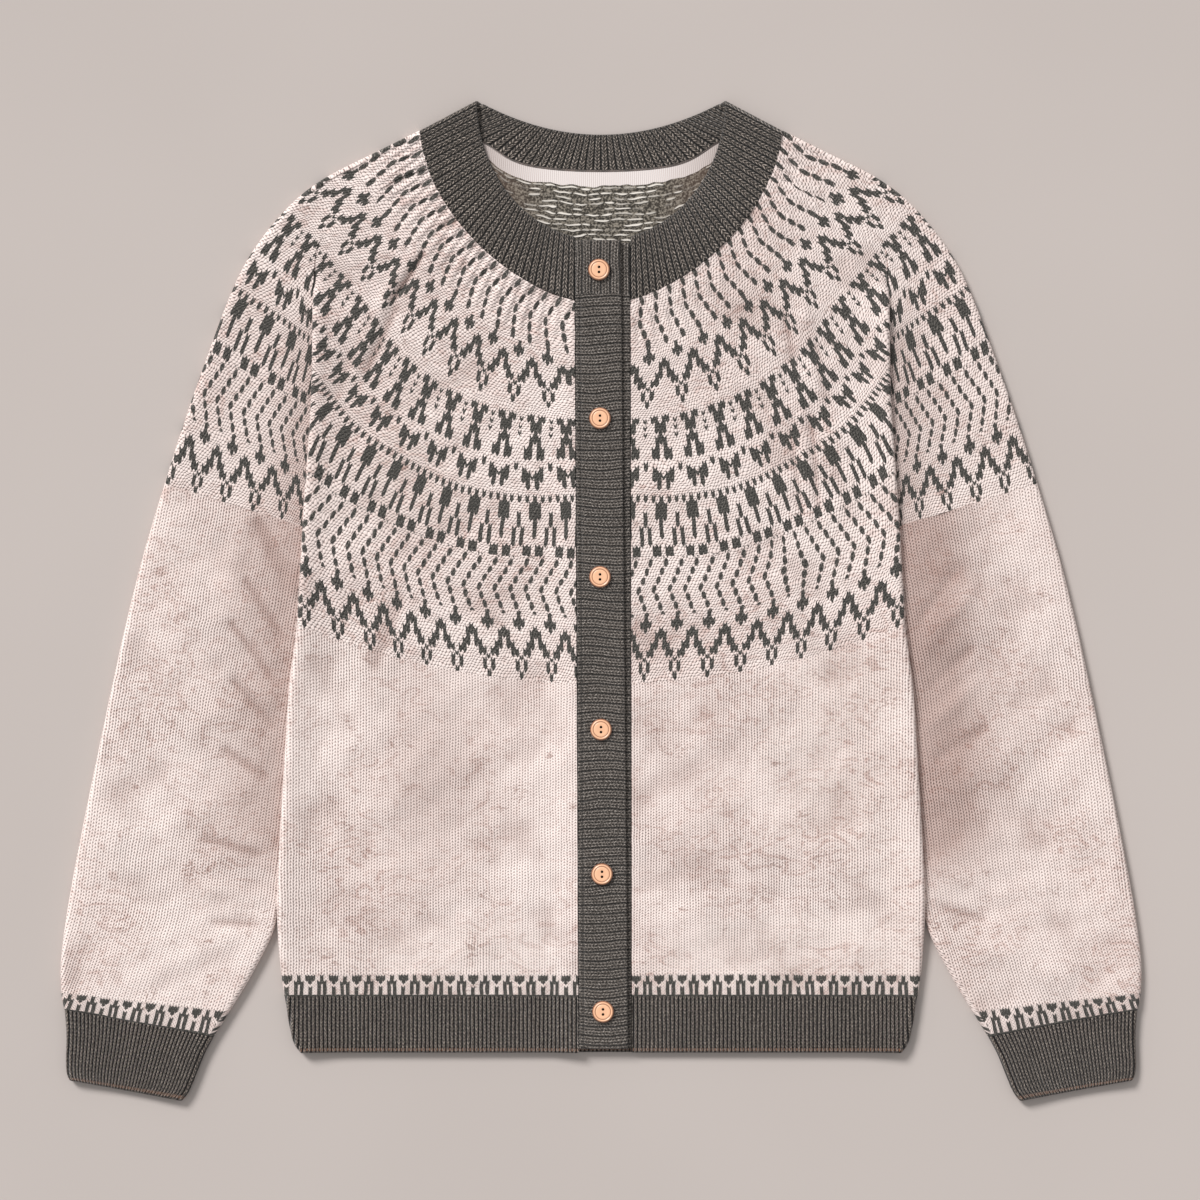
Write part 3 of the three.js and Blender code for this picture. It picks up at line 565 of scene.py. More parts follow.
# %% [markdown]
# ## Sums on sockets
#
# A material is a net of nodes, and its maths reads best as plain expressions. This class wraps a
# socket, so that adding two of them adds a Math node. Any other node comes from `node`. Colours go
# through `blend`, because a Math node would turn them grey.


# %% The socket class
class Wire:
    def __init__(self, tree, socket=None):
        self.tree, self.socket = tree, socket

    def node(self, kind, settings=None, sockets=None, output=0):
        node = self.tree.nodes.new("ShaderNode" + kind)
        for name, value in (settings or {}).items():
            if name == "stops":
                ramp = node.color_ramp
                ramp.interpolation = "CONSTANT"
                while len(ramp.elements) < len(value):
                    ramp.elements.new(1)
                for element, (position, shade) in zip(ramp.elements, value):
                    element.position, element.color = position, (shade, shade, shade, 1)
            else:
                setattr(node, name, value)
        for name, value in (sockets or {}).items():
            if isinstance(value, Wire):
                self.tree.links.new(value.socket, node.inputs[name])
            else:
                node.inputs[name].default_value = value
        return Wire(self.tree, node.outputs[output]) if node.outputs else None

    def sum(self, operation, *values):
        return self.node("Math", {"operation": operation}, dict(enumerate(values)))

    def __add__(self, other):
        return self.sum("ADD", self, other)

    def __radd__(self, other):
        return self.sum("ADD", other, self)

    def __sub__(self, other):
        return self.sum("SUBTRACT", self, other)

    def __rsub__(self, other):
        return self.sum("SUBTRACT", other, self)

    def __mul__(self, other):
        return self.sum("MULTIPLY", self, other)

    def __rmul__(self, other):
        return self.sum("MULTIPLY", other, self)

    def __truediv__(self, other):
        return self.sum("DIVIDE", self, other)

    def __rpow__(self, other):
        return self.sum("POWER", other, self)

    def __pow__(self, other):
        return self.sum("POWER", self, other)

    def __mod__(self, other):
        return self.sum("FLOORED_MODULO", self, other)

    def __gt__(self, other):
        return self.sum("GREATER_THAN", self, other)

    def __lt__(self, other):
        return self.sum("LESS_THAN", self, other)

    def __abs__(self):
        return self.sum("ABSOLUTE", self)

    def floor(self):
        return self.sum("FLOOR", self)

    def fraction(self):
        return self.sum("FRACT", self)

    def sign(self):
        return self.sum("SIGN", self)

    def sine(self):
        return self.sum("SINE", self)

    def soft_step(self, start, end):
        return self.node("MapRange", {"interpolation_type": "SMOOTHSTEP"},
                         {"Value": self, "From Min": start, "From Max": end})


def blend(mask, a, b):
    """Colour a where the mask is 0 and b where it is 1."""
    return mask.node("Mix", {"data_type": "RGBA"}, {0: mask, 6: a, 7: b}, output=2)


def speckle(wire, place, scale, detail=1.0):
    """Smooth noise from 0 to 1, about a half."""
    return wire.node("TexNoise", {}, {"Vector": place, "Scale": scale, "Detail": detail})


def paint(shade):
    """A colour as a painter would mix it, 0 to 255, turned into the light it sends back."""
    linear = [((c / 255 + 0.055) / 1.055) ** 2.4 if c > 10 else c / 255 / 12.92 for c in shade]
    return (*linear, 1)


OATMEAL, ROSE = paint((255, 240, 234)), paint((206, 173, 163))
# Rose brown tints the nicks and threads of the mottling, and is also the shade painted in troughs and
# beside folds. The deep rose is shade painted between a stitch's legs.
ROSE_BROWN, ROSE_PAINTED_SHADE = paint((162, 127, 116)), paint((128, 98, 90))
# The deepest charcoal is shade painted between a stitch's legs and in the furrows of ribbing and bands.
CHARCOAL, CHARCOAL_PAINTED_SHADE, ASH = paint((72, 70, 66)), paint((20, 18, 17)), paint((184, 176, 168))
# The dark peach is shade painted on a button's rim.
PEACH, PEACH_RIM_SHADE, CAST_OFF = paint((255, 198, 158)), paint((126, 72, 50)), paint((190, 140, 112))
FLECK = paint((198, 184, 172))
print("palette mixed: oatmeal", [round(c, 3) for c in OATMEAL])

# %% [markdown]
# ## The stitch itself
#
# A knit stitch is a V of two slanting legs. Across one stitch the legs are the two humps of a
# sine; down the cloth each leg is one hump for each row, and the whole row is bent into a V by
# adding the distance from the stitch's middle to the row number. The same V, asked which stitch
# and row it belongs to, gives the pattern its stepped, leafy edges. In the brushed yoke the legs
# are felted together, and slanted grains show instead.


# %% V stitches
def start_material(name):
    """An empty material, and a wire to start its nodes from."""
    material = bpy.data.materials.new(name)
    material.use_nodes = True
    material.node_tree.nodes.clear()
    return material, Wire(material.node_tree)


def stitch_places(wire):
    """The two numbers kept in every point: the stitch, and the row or the height."""
    split = wire.node("SeparateXYZ", {}, {0: wire.node("UVMap", {"uv_map": "Stitches"})})
    return split, Wire(wire.tree, split.socket.node.outputs[1])


def v_stitch(stitch, row, slant, ladder=0):
    """Stitch number, row number, height of the yarn, and where along it we are."""
    across = abs((stitch + 0.5).fraction() * 2 - 1)
    bent = row + slant * across
    leg = (across * math.pi).sine() ** 0.6
    strand = (bent.fraction() * math.pi).sine() ** 0.7
    height = 0.32 * leg + 0.23 * strand + 0.45 * (1 - (1 - leg) * (1 - strand)) ** 3
    height = height - (1 - leg) * ladder
    return (stitch + 0.5).floor(), bent.floor(), height, bent


def grain_of(stitch, row):
    """Slanted grains set like bricks, dark where their corners meet."""
    line = row.floor()
    slant = row.fraction() - 0.5
    side = abs((stitch + 0.5 * (line % 2) + slant * 0.35).fraction() * 2 - 1)
    tip = abs(slant * 2)
    return (1 - 0.42 * side ** 2.2 - 0.34 * tip ** 2.5 - 0.5 * (side * tip) ** 2).soft_step(0.0, 1.0)


def finish_wool(wire, colour, height, relief):
    """Matt wool with a soft sheen. The relief of its bump is in millimetres."""
    bump = wire.node("Bump", {}, {"Strength": 1.0, "Distance": relief / 1000, "Height": height})
    wool = wire.node("BsdfPrincipled", {}, {
        "Base Color": colour, "Roughness": 0.92, "Sheen Weight": 0.25, "Sheen Roughness": 0.5,
        "Specular IOR Level": 0.2, "Normal": bump})
    wire.node("OutputMaterial", {}, {"Surface": wool})


print("dark paint sends back", round(CHARCOAL[0], 3), "of the light, pale paint", round(OATMEAL[0], 3))

# %% [markdown]
# ## The two yarns
#
# The pale yarn is dyed unevenly: broad clouds, smaller mottling, short dark nicks where the fibres
# part. Each is a noise of its own scale, mixed over the one before. A rosy shade is painted in
# every furrow and between the stitches' legs. The dark yarn is marled, a charcoal strand twisted
# with pale flecks, and shade is painted between its legs.


# %% The two yarns
def oatmeal_yarn(wire, height, stitch, bent):
    """Pale wool, mottled with rose brown, with shade painted between the legs and in troughs and folds.
    """
    solid = wire.node("TexCoord", output=3)
    cloud = speckle(wire, solid, 15, 4).soft_step(0.4, 0.62)
    level = wire.node("Mapping", {}, {"Vector": solid, "Scale": (62, 98, 1)})
    mottle = wire.node("TexNoise", {}, {"Vector": level, "Scale": 1, "Detail": 3, "Distortion": 2.6})
    mottle = mottle.soft_step(0.46, 0.7)
    thin = wire.node("Mapping", {}, {"Vector": solid, "Scale": (48, 120, 1)})
    ripple = wire.node("TexNoise", {}, {"Vector": thin, "Scale": 1, "Detail": 2, "Distortion": 1.8})
    patch = speckle(wire, solid, 60, 1).soft_step(0.6, 0.7)
    nick = (1 - abs(ripple * 2 - 1).soft_step(0.0, 0.075)) * patch
    along = wire.node("CombineXYZ", {}, {0: stitch * 2.3, 1: bent * 0.5})
    ply = speckle(wire, along, 1.0, 2).soft_step(0.55, 0.8)
    painted_shade = wire.node("Attribute", {"attribute_name": "Furrow"}, output=2)
    drift = speckle(wire, solid, 4.5, 1).soft_step(0.35, 0.65)
    pale = blend(drift * 0.1 + cloud * (0.12 + 0.34 * mottle) + mottle * 0.15, OATMEAL, ROSE)
    pale = blend(ply * 0.12 + nick * 0.62, pale, ROSE_BROWN)
    # Painted shade, in rose brown, from the shade each point holds: troughs, folds and low places
    pale = blend(painted_shade * 0.62, pale, ROSE_BROWN)
    # Painted shade between the legs, in deep rose, stronger where the dye is mottled or shade is painted
    depth = (1 - height).soft_step(0.15, 0.95) * (0.62 + 0.25 * mottle + 0.2 * cloud + 0.3 * painted_shade)
    return blend(depth, pale, ROSE_PAINTED_SHADE)


def charcoal_yarn(wire, height, stitch, bent):
    """Marled grey wool: a dark strand and a pale fleck twisted together, with shade painted between the
    legs.
    """
    along = wire.node("CombineXYZ", {}, {0: stitch * 3.1, 1: bent * 1.3})
    fleck = speckle(wire, along, 1.7, 2).soft_step(0.52, 0.7)
    grey = blend(fleck * 0.62 * height, CHARCOAL, ASH)
    # Painted shade where the yarn sinks between the legs
    return blend((1 - height).soft_step(0.4, 1.0) * 0.75, grey, CHARCOAL_PAINTED_SHADE)


print("the darkest rose is", [round(c, 3) for c in ROSE_PAINTED_SHADE[:3]])

# %% [markdown]
# ## The chart
#
# A knitter reads the pattern from a chart, a line of squares for each round. This one is eight
# squares wide, the number of stitches in a repeat, and reads down from the neck: chevrons, peaks,
# rosettes, hearts, spades on stems, chevrons again, and the peaks that hang over the plain body.

# %% The yoke chart
PEAKS = ["#.......", "#.......", "##.....#", "##.....#", "#...#...", "...###..", "...###..",
         "...#.#..", "..##.##.", "..##.##.", ".##...##", ".##...##", "#.......", ".#.....#",
         ".#.....#", ".#.....#", "#.......", "#......."]
ROSETTES = ["..##.##.", "#.##.##.", "...###..", "#..###..", "...###..", "#...#...", "...###..",
            "...###..", "...#.#..", "..##.##.", "..##.##.", "..##.##."]
HEARTS = ["#.......", "#.#...#.", "..##.##.", "..#####.", "..##.##.", "...#.#..", "...#.#.."]
SPADES = ["#.#.#.#.", "#.#.#.#.", "...###..", "...###..", "...###..", "#..###..", "#..###..",
          "#...#...", "#...#...", ".#..#..#", ".#..#..#", ".#..#..#", ".#.....#", ".#.....#",
          "..##.##.", "..##.##.", "..##.##."]
PLAIN = ["........"]
CHEVRON_ROUNDS = 16
YOKE_CHART = (CHEVRON_ROUNDS * PLAIN + PEAKS + 3 * PLAIN + ROSETTES + PLAIN + HEARTS + 2 * PLAIN
              + SPADES + CHEVRON_ROUNDS * PLAIN + PEAKS)
NECK_PEAKS = CHEVRON_ROUNDS + len(PEAKS)
LAST_ABOVE = NECK_PEAKS + 3 + len(ROSETTES) + 1 + len(HEARTS) + 0.5
LOW_CHEVRONS = len(YOKE_CHART) - len(PEAKS) - CHEVRON_ROUNDS
BORDER = ["#..###..", "#..###..", "##..#..#", ".#.....#", ".#..#..#", ".#..#..#", ".#..#..#"]
ROWS_A_RAMP = 28
print("yoke chart:", len(YOKE_CHART), "rounds of 8 stitches")


# %% Reading a chart in a material
def charted(stitch, row, chart):
    """1 on the dark squares. Each line of the chart is one number in a ramp, a bit a square."""
    code = 0
    for start in range(0, len(chart), ROWS_A_RAMP):
        lines = chart[start:start + ROWS_A_RAMP]
        stops = [(k / ROWS_A_RAMP, sum(2**n for n, square in enumerate(line) if square == "#") / 256)
                 for k, line in enumerate(lines)]
        share = (row - (start - 0.5)) / ROWS_A_RAMP
        ramp = row.node("ValToRGB", {"stops": stops}, {"Fac": share})
        code = code + ramp * (row > start - 0.5) * (row < start + len(lines) - 0.5)
    place = 2 ** (stitch % 8)
    return ((code * 256 / place + 0.002).floor() % 2) > 0.5


# The two bands of chevrons, near the neck and on the body: rounds from one tick to the next, the
# round where they turn back, how far out they start, and how far they step out in each round
TICK_ROUNDS, TURN_ROUND, ARC_START = (3.2, 2.5), (7, 9), (1.4, 2.2)
ARC_SLOPE, ARC_LEAN = (0.27, 0.405), (0.09, 0.065)
TICK_SLANT, TICK_NARROW, TICK_SHORT = 0.35, 1.7, 2.15
MIRROR_STITCH, MIRROR_EASE = 46, 9


def chevrons(stitch, row, grain):
    """Frayed ticks that step out and then back as they go down the cloth."""
    low = row > CHEVRON_ROUNDS + len(PEAKS) / 2
    local = row - LOW_CHEVRONS * low
    tall = mix(*TICK_ROUNDS, low)
    tick = (local / tall).floor() * tall + tall / 2
    past = tick + (local - tick) * TICK_SLANT - mix(*TURN_ROUND, low)
    arc = mix(*ARC_START, low) - mix(*ARC_SLOPE, low) * abs(past) + mix(*ARC_LEAN, low) * past
    mirrored = stitch.soft_step(MIRROR_STITCH - MIRROR_EASE, MIRROR_STITCH + MIRROR_EASE)
    arc = arc * (1 - 2 * mirrored * low)
    across = (stitch + arc + 2) % 4 - 2
    leaf = (across * TICK_NARROW) ** 2 + ((local - tick) / tall * TICK_SHORT) ** 2
    return (leaf < 0.4 + 0.7 * grain) * (local > 0) * (local < CHEVRON_ROUNDS)


print("the lower chevrons start at round", LOW_CHEVRONS)

# %% [markdown]
# ## Stranded knitting
#
# The yoke is knitted with two yarns at once, one round after another. An image could show that,
# but it would blur from close by, so the material reads the chart for each point's stitch and
# round. The counts are made coarser above and below the spades, as a knitter's increases do, and
# are disturbed a little, because brushed wool has no sharp outlines.


# %% The patterned knitting
# Near the neck some stitches are eased in, and the motifs are that much narrower.
NECK_EASED, NECK_GAUGE, TICK_GAUGE = 8.6, 0.777, 0.583


def patterned_knit():
    material, wire = start_material("stranded wool")
    stitch, row = stitch_places(wire)
    solid = wire.node("TexCoord", output=3)
    drift = speckle(wire, solid, 160, 1) - 0.5
    sway = speckle(wire, solid, 95, 1) - 0.5
    row = row + drift * 0.9
    upper, lower = row < LAST_ABOVE, row > LOW_CHEVRONS - 0.5
    shifted = stitch * (1 + (WIDEN_ABOVE - 1) * upper + (WIDEN_BELOW - 1) * lower)
    shifted = shifted + stitch.sign() * START_ABOVE * upper
    near_neck = row < NECK_PEAKS
    gauge = (1 - (1 - NECK_GAUGE) * near_neck
             - (NECK_GAUGE - TICK_GAUGE) * (row < CHEVRON_ROUNDS))
    stitch = (shifted - shifted.sign() * NECK_EASED * near_neck) * gauge + sway * 0.5
    grain = grain_of(stitch * 1.2 + sway, row * 1.3 + drift)
    number, course, _, bent = v_stitch(stitch, row, 0.85)
    dark = charted(number, course, YOKE_CHART) + chevrons(stitch, row, grain)
    colour = blend(dark, oatmeal_yarn(wire, 0.1 + 0.9 * grain, stitch, bent),
                   charcoal_yarn(wire, grain, stitch, bent))
    gather = (((stitch + 2) % 4 - 2) * 1.57).sine() ** 2 * (1 - row.soft_step(2, 20))
    finish_wool(wire, colour, grain + dark * 0.3 + gather * 1.2, 0.9)
    return material


stranded = patterned_knit()
print(stranded.name, "has", len(stranded.node_tree.nodes), "nodes")

# %% [markdown]
# ## Plain knitting with a border
#
# The body and the sleeves are plain, with a small charted border above the ribs. The border's
# stitches are finer than the plain ones. One material works out both and changes over at the
# border's top row, so that the mottled dye runs through without a seam.


# %% The plain knitting
STITCH_WIDE, ROW_HIGH = 3.9, 2.25
BORDER_STITCH, BORDER_ROW = 2.03, 1.98


def plain_knit():
    material, wire = start_material("plain wool")
    stitch, rows_up = stitch_places(wire)
    solid = wire.node("TexCoord", output=3)
    sway = speckle(wire, solid, 110, 1) - 0.5
    drift = speckle(wire, solid, 70, 1) - 0.5
    ladder = speckle(wire, solid, 13, 2).soft_step(0.46, 0.62) * 0.22
    in_border = rows_up < (len(BORDER) + 0.6) * BORDER_ROW / ROW_HIGH
    _, _, plain_height, plain_bent = v_stitch(stitch + sway * 0.35, drift * 0.6 - rows_up, 0.8,
                                              ladder)
    column = stitch * (STITCH_WIDE / BORDER_STITCH) + sway * 0.9
    down = len(BORDER) - rows_up * (ROW_HIGH / BORDER_ROW) + drift * 1.1
    _, course, border_height, _ = v_stitch(column, down, 0.62)
    height = mix(plain_height, border_height, in_border)
    squares = [charted((column + share).floor(), course, BORDER) for share in (0.68, 0.32)]
    dark = (squares[0] + squares[1] + (rows_up < 0.5)) > 0.5
    colour = blend(dark, oatmeal_yarn(wire, height, stitch, plain_bent),
                   charcoal_yarn(wire, height, stitch, plain_bent))
    finish_wool(wire, colour, height, 0.8)
    return material


plain_wool = plain_knit()
print(plain_wool.name, "has", len(plain_wool.node_tree.nodes), "nodes")

# %% [markdown]
# ## The wrong side
#
# Through the neck the inside of the yoke's back shows. There the yarn that rests is carried along
# behind the stitches, in strands that bow a little. Modelled threads would be thousands of thin
# tubes, so here each line of strands is a wavy stripe, cut into lengths with a chance strength.


# %% The wrong side of the pattern
FLOAT_ROWS, FLOAT_SHARE, PLAIN_ROUNDS = 0.82, 0.19, 3.7


def floats_inside():
    """Pale strands carried across grey, row by row, with plain rounds next to the neckband."""
    material, wire = start_material("stranded wool, wrong side")
    stitch, row = stitch_places(wire)
    solid = wire.node("TexCoord", output=3)
    row = row + (speckle(wire, solid, 62, 2) - 0.5) * 1.9
    line = (row * FLOAT_ROWS).floor()
    along = stitch * FLOAT_SHARE + (line * 12.9898).sine() * 7.3 + speckle(wire, solid, 60, 1) * 1.6
    span = along.floor()
    chance = wire.node("TexWhiteNoise", {"noise_dimensions": "2D"},
                       {"Vector": wire.node("CombineXYZ", {}, {0: span, 1: line})})
    across = abs((row * FLOAT_ROWS).fraction() * 2 - 1)
    ends = abs(along.fraction() * 2 - 1)
    strand = 1 - (across + 0.35 * ends ** 3).soft_step(0.18, 0.58)
    strand = strand * (1 - ends.soft_step(0.8, 0.98)) * chance.soft_step(0.1, 0.75)
    shade = speckle(wire, solid, 700, 2).soft_step(0.4, 0.66)
    ground = blend(shade, paint((58, 54, 48)), paint((150, 142, 130)))
    # Painted shade in the gaps between rows of strands
    ground = blend(across.soft_step(0.7, 1) * 0.6, ground, paint((52, 48, 44)))
    colour = blend(strand, ground, paint((240, 233, 223)))
    plain = row < PLAIN_ROUNDS
    ribbed = abs((stitch * 1.4).fraction() * 2 - 1).soft_step(0.2, 1)
    pale = blend(ribbed * 0.26, paint((238, 230, 227)), ROSE)
    painted_shade = wire.node("Attribute", {"attribute_name": "Furrow"}, output=2)
    # Painted shade on the back's yoke, as it is given for each point
    colour = blend(painted_shade, blend(plain, colour, pale), paint((120, 96, 84)))
    finish_wool(wire, colour, strand * (1 - plain) + ribbed * plain * 0.12, 1.2)
    return material


wrong_side = floats_inside()
print(wrong_side.name, "has", len(wrong_side.node_tree.nodes), "nodes")

# %% [markdown]
# ## Ribbing
#
# Hem, cuffs and neckband are ribbed in charcoal wool. The ribs are real shape, so the material
# only adds what lies on them: rows of V stitches, pale flecks, a painted highlight on the raised
# yarn, shade painted in the furrow between two ribs, and a few strands of the tan thread in the
# cast-off edge.


# %% The ribbing
RIB_ROW = 2.4


def rib_knit(name, wide, dip, deep, dark, light):
    """Counts are the rib, with its middle at a half, and the millimetres from the cast-off edge.

    wide is how much of a rib stands up, dip how far its middle line sinks, and deep how dark the
    shade painted in the furrows is."""
    material, wire = start_material(name)
    rib, high = stitch_places(wire)
    solid = wire.node("TexCoord", output=3)
    rib = rib + (speckle(wire, solid, 120, 1) - 0.5) * 0.18
    across = abs(rib.fraction() * 2 - 1)
    bent = high / RIB_ROW + (speckle(wire, solid, 90, 1) - 0.5) * 0.9 - across * 1.2
    strand = (bent.fraction() * math.pi).sine() ** 1.2
    on_rib = 1 - across.soft_step(wide - 0.25, wide + 0.15)
    on_rib = on_rib * (1 - dip * (1 - across.soft_step(0, 0.36)))
    height = on_rib * (0.15 + 0.85 * strand)
    along = wire.node("CombineXYZ", {}, {0: rib * 4.1, 1: bent * 1.1})
    fleck = speckle(wire, along, 1.6, 2).soft_step(0.42, 0.62)
    fade = speckle(wire, solid, 45, 3).soft_step(0.3, 0.75)
    grey = blend(fade * 0.6, paint(dark), paint(light))
    # Pale flecks where the yarn stands up, with a painted highlight on all of the raised yarn
    grey = blend((0.1 + 0.9 * fleck) * height, grey, FLECK)
    # Painted shade in the furrows between ribs and between rows
    grey = blend((1 - height).soft_step(0.4, 1.0) * deep, grey, CHARCOAL_PAINTED_SHADE)
    edge = (high > 1.4) * (high < 3.2) * ((rib * 1.6).fraction() > 0.55)
    finish_wool(wire, blend(edge * 0.45, grey, CAST_OFF), height, 1.0)
    return material


ribbing = rib_knit("charcoal ribbing", 0.66, 0, 0.97, (36, 26, 21), (60, 46, 39))
neck_ribbing = rib_knit("charcoal neckband", 0.8, 0.6, 0.9, (34, 32, 30), (52, 50, 47))
print(ribbing.name, "and", neck_ribbing.name, "have", len(ribbing.node_tree.nodes), "nodes each")

# %% [markdown]
# ## The bands' knitting
#
# The front bands are ribbed too, but sideways, so that their V stitches lie across them and
# every rib is a step of a ladder.


# %% The bands' knitting
BAND_RIB, BAND_COLUMN = 6.6, 4.4


def band_rows(name):
    """Counts are knitted columns lying sideways, and the millimetres across the band."""
    material, wire = start_material(name)
    column, along = stitch_places(wire)
    solid = wire.node("TexCoord", output=3)
    column = column + (speckle(wire, solid, 70, 2) - 0.5) * 0.5
    _, _, height, bent = v_stitch(column, along / 2.3 + (speckle(wire, solid, 110, 1) - 0.5) * 0.8,
                                  0.9, 0.25)
    place = wire.node("CombineXYZ", {}, {0: column * 5, 1: bent * 1.2})
    fleck = speckle(wire, place, 1.6, 2).soft_step(0.42, 0.66)
    fade = speckle(wire, solid, 38, 3).soft_step(0.3, 0.75)
    step = abs((column * (BAND_COLUMN / BAND_RIB)).fraction() * 2 - 1).soft_step(0.62, 1)
    grey = blend(fade * 0.7, paint((62, 55, 50)), paint((88, 80, 74)))
    grey = blend(fleck * height * 0.85, grey, ASH)
    # Painted shade between the legs
    grey = blend((1 - height).soft_step(0.15, 0.8) * 0.9, grey, CHARCOAL_PAINTED_SHADE)
    # Painted shade in the furrow at each step of the ladder, which the bump also sinks
    finish_wool(wire, blend(step * 0.55, grey, CHARCOAL_PAINTED_SHADE), height - step * 0.6, 1.1)
    return material


band_knit = band_rows("charcoal band")
print(band_knit.name, "has", len(band_knit.node_tree.nodes), "nodes")

# %% [markdown]
# ## Peach buttons
#
# The buttons are of a hard, slightly cloudy plastic. Fine scratches spread their shine, and the
# rim below the top face has shade painted into its colour. The rim is found by its height.


# %% The buttons' finish
def button_peach():
    material, wire = start_material("peach button")
    solid = wire.node("TexCoord", output=3)
    cloud = speckle(wire, solid, 240, 3).soft_step(0.35, 0.7)
    scratch = speckle(wire, solid, 2600, 2)
    colour = blend(cloud * 0.35, PEACH, paint((250, 202, 164)))
    # Painted shade on the rim, from just below the top face downwards
    top = (TOP_BAND_MID + RIB / 2 + SEAM + BUTTON["thickness"]) / 1000
    high = wire.node("SeparateXYZ", {}, {0: solid}, output=2)
    rim = high.soft_step(top - 0.0002, top - 0.0005)
    colour = blend(rim * 0.85, colour, PEACH_RIM_SHADE)
    bump = wire.node("Bump", {}, {"Strength": 0.25, "Distance": 0.0001, "Height": scratch})
    shell = wire.node("BsdfPrincipled", {}, {
        "Base Color": colour, "Roughness": 0.36 + cloud * 0.1, "Coat Weight": 0.15,
        "Coat Roughness": 0.25, "Normal": bump})
    wire.node("OutputMaterial", {}, {"Surface": shell})
    return material


peach = button_peach()
print("materials:", [material.name for material in bpy.data.materials])

# %% [markdown]
# ## Pieces on the table
#
# Every piece of knitting hides the parts of the model that it stands for, and notes as a sheet the
# size it has when its wall is opened flat, measured along the grid's own rows and columns. The
# longest row and column count, and the area is summed over the grid.

# %% Noting a sheet's size
sheets = {}


def declare(piece, nodes, grid, closed=False):
    """Hides the parts a piece stands for, and notes how large its cloth is when it is opened flat."""
    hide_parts(*nodes)
    loop = np.concatenate([grid, grid[:, :1]], 1) if closed else grid
    across = np.linalg.norm(np.diff(loop, axis=1), axis=2).sum(1)
    down = np.linalg.norm(np.diff(grid, axis=0), axis=2).sum(0)
    a, b = np.diff(loop, axis=1)[:-1], np.diff(loop, axis=0)[:, :-1]
    area = np.linalg.norm(np.cross(a, b), axis=2).sum() / 1e6
    width, length = across.max() / 1000, down.max() / 1000
    area = min(area, width * length)
    sheets[piece.name] = (round(width * 1000), round(length * 1000), round(area, 4))
    print(piece.name, "flat", sheets[piece.name])


# %% [markdown]
# ## The fronts
#
# Each front is a share of the yoke, a share of the body and a share of the hem. All three lie on
# the back, rise to the ridge at the side and turn under there. Next to the bands the left front
# rises to the level of the buttonhole band, on top, and the right front to the band beneath.

# %% Where the fronts lie
SIDES = {"left": -1, "right": 1}
BAND_SLOPE, CREASES_FROM = 24, (-312, -290)
ACROSS, YOKE_ROWS, FOOT_ROWS, BODY_ROWS = 84, 84, 22, 90
FOLD_FADES, RIDGE_SINKS = (196, 240), (-205, -262)
RIDGE_AT_HEM = (6.6, 2.4)


def front_edge(side, up):
    """How far out the inner edge of a front lies."""
    at_neck, at_hem = FRONT_EDGE[side]
    return abs(mix(at_neck, at_hem, (TOP_BAND["top"] - up) / (TOP_BAND["top"] - HEM_FOOT)))


def front_layer(side, base):
    """The height of a front's cloth above the table, with its creases and hang."""
    rise = (TOP_BAND_MID - SEAM if side < 0 else UNDER_BAND_MID) - base

    def layer(place):
        from_band = place[:, 0] - np.array([front_edge(side, up) for up in place[:, 1]])
        soft = ease(*CREASES_FROM, place[:, 1])
        return (base + rise * (1 - ease(0, BAND_SLOPE, from_band))
                + soft * (crease_height(CREASES, side, place) + hang(place, side)))
    return layer


def fold_strength(up):
    """1 where body and sleeve have parted, 0 where they are one cloth."""
    return 1 - float(ease(*FOLD_FADES, up))


def ridge(up):
    """How high the fold stands, how tightly it turns, how far it goes under and how complete it is."""
    down = float(ease(*RIDGE_SINKS, up)) if up < RIDGE_SINKS[0] else 0.0
    return (mix(RIDGE_TOP, RIDGE_AT_HEM[0], down), mix(RIDGE_TURN, RIDGE_AT_HEM[1], down), TAIL,
            fold_strength(up))


def ridge_of(plan):
    """The ridge along the outer edge of a plan."""
    def fold(v):
        return ridge(plan(np.array([1.0]), v)[0][1])
    return fold


def finished(grid, side):
    """Every grid is worked out for the right, and mirrored for the left."""
    return grid * np.array([side, 1, 1])


def yoke_foot(start):
    """The line between yoke and body, from the band to the body's side."""
    def line(u):
        out = mix(start, BODY_SIDE[0][0], u)
        return np.stack([out, dipped(YOKE_FOOT, out)], -1)
    return line


print("the fold at the side stands", RIDGE_TOP, "mm high, and", RIDGE_AT_HEM[0], "at the hem")


# %% The fronts' shares of the yoke
def gathers(counts):
    """The fullness drawn in by the neckband stands up in flutes between the rows of ticks."""
    stitch, row = counts[..., 0], counts[..., 1]
    eased = WIDEN_ABOVE * np.abs(stitch) + START_ABOVE - NECK_EASED
    stitch = eased * TICK_GAUGE * np.sign(stitch)
    arc = 1.5 - 4.3 * np.abs((row - 9.5) / 9.5) ** 1.6
    return -0.5 * np.cos(math.pi / 2 * (stitch + arc)) * ease(0, 3, row) * (1 - ease(9, 24, row))


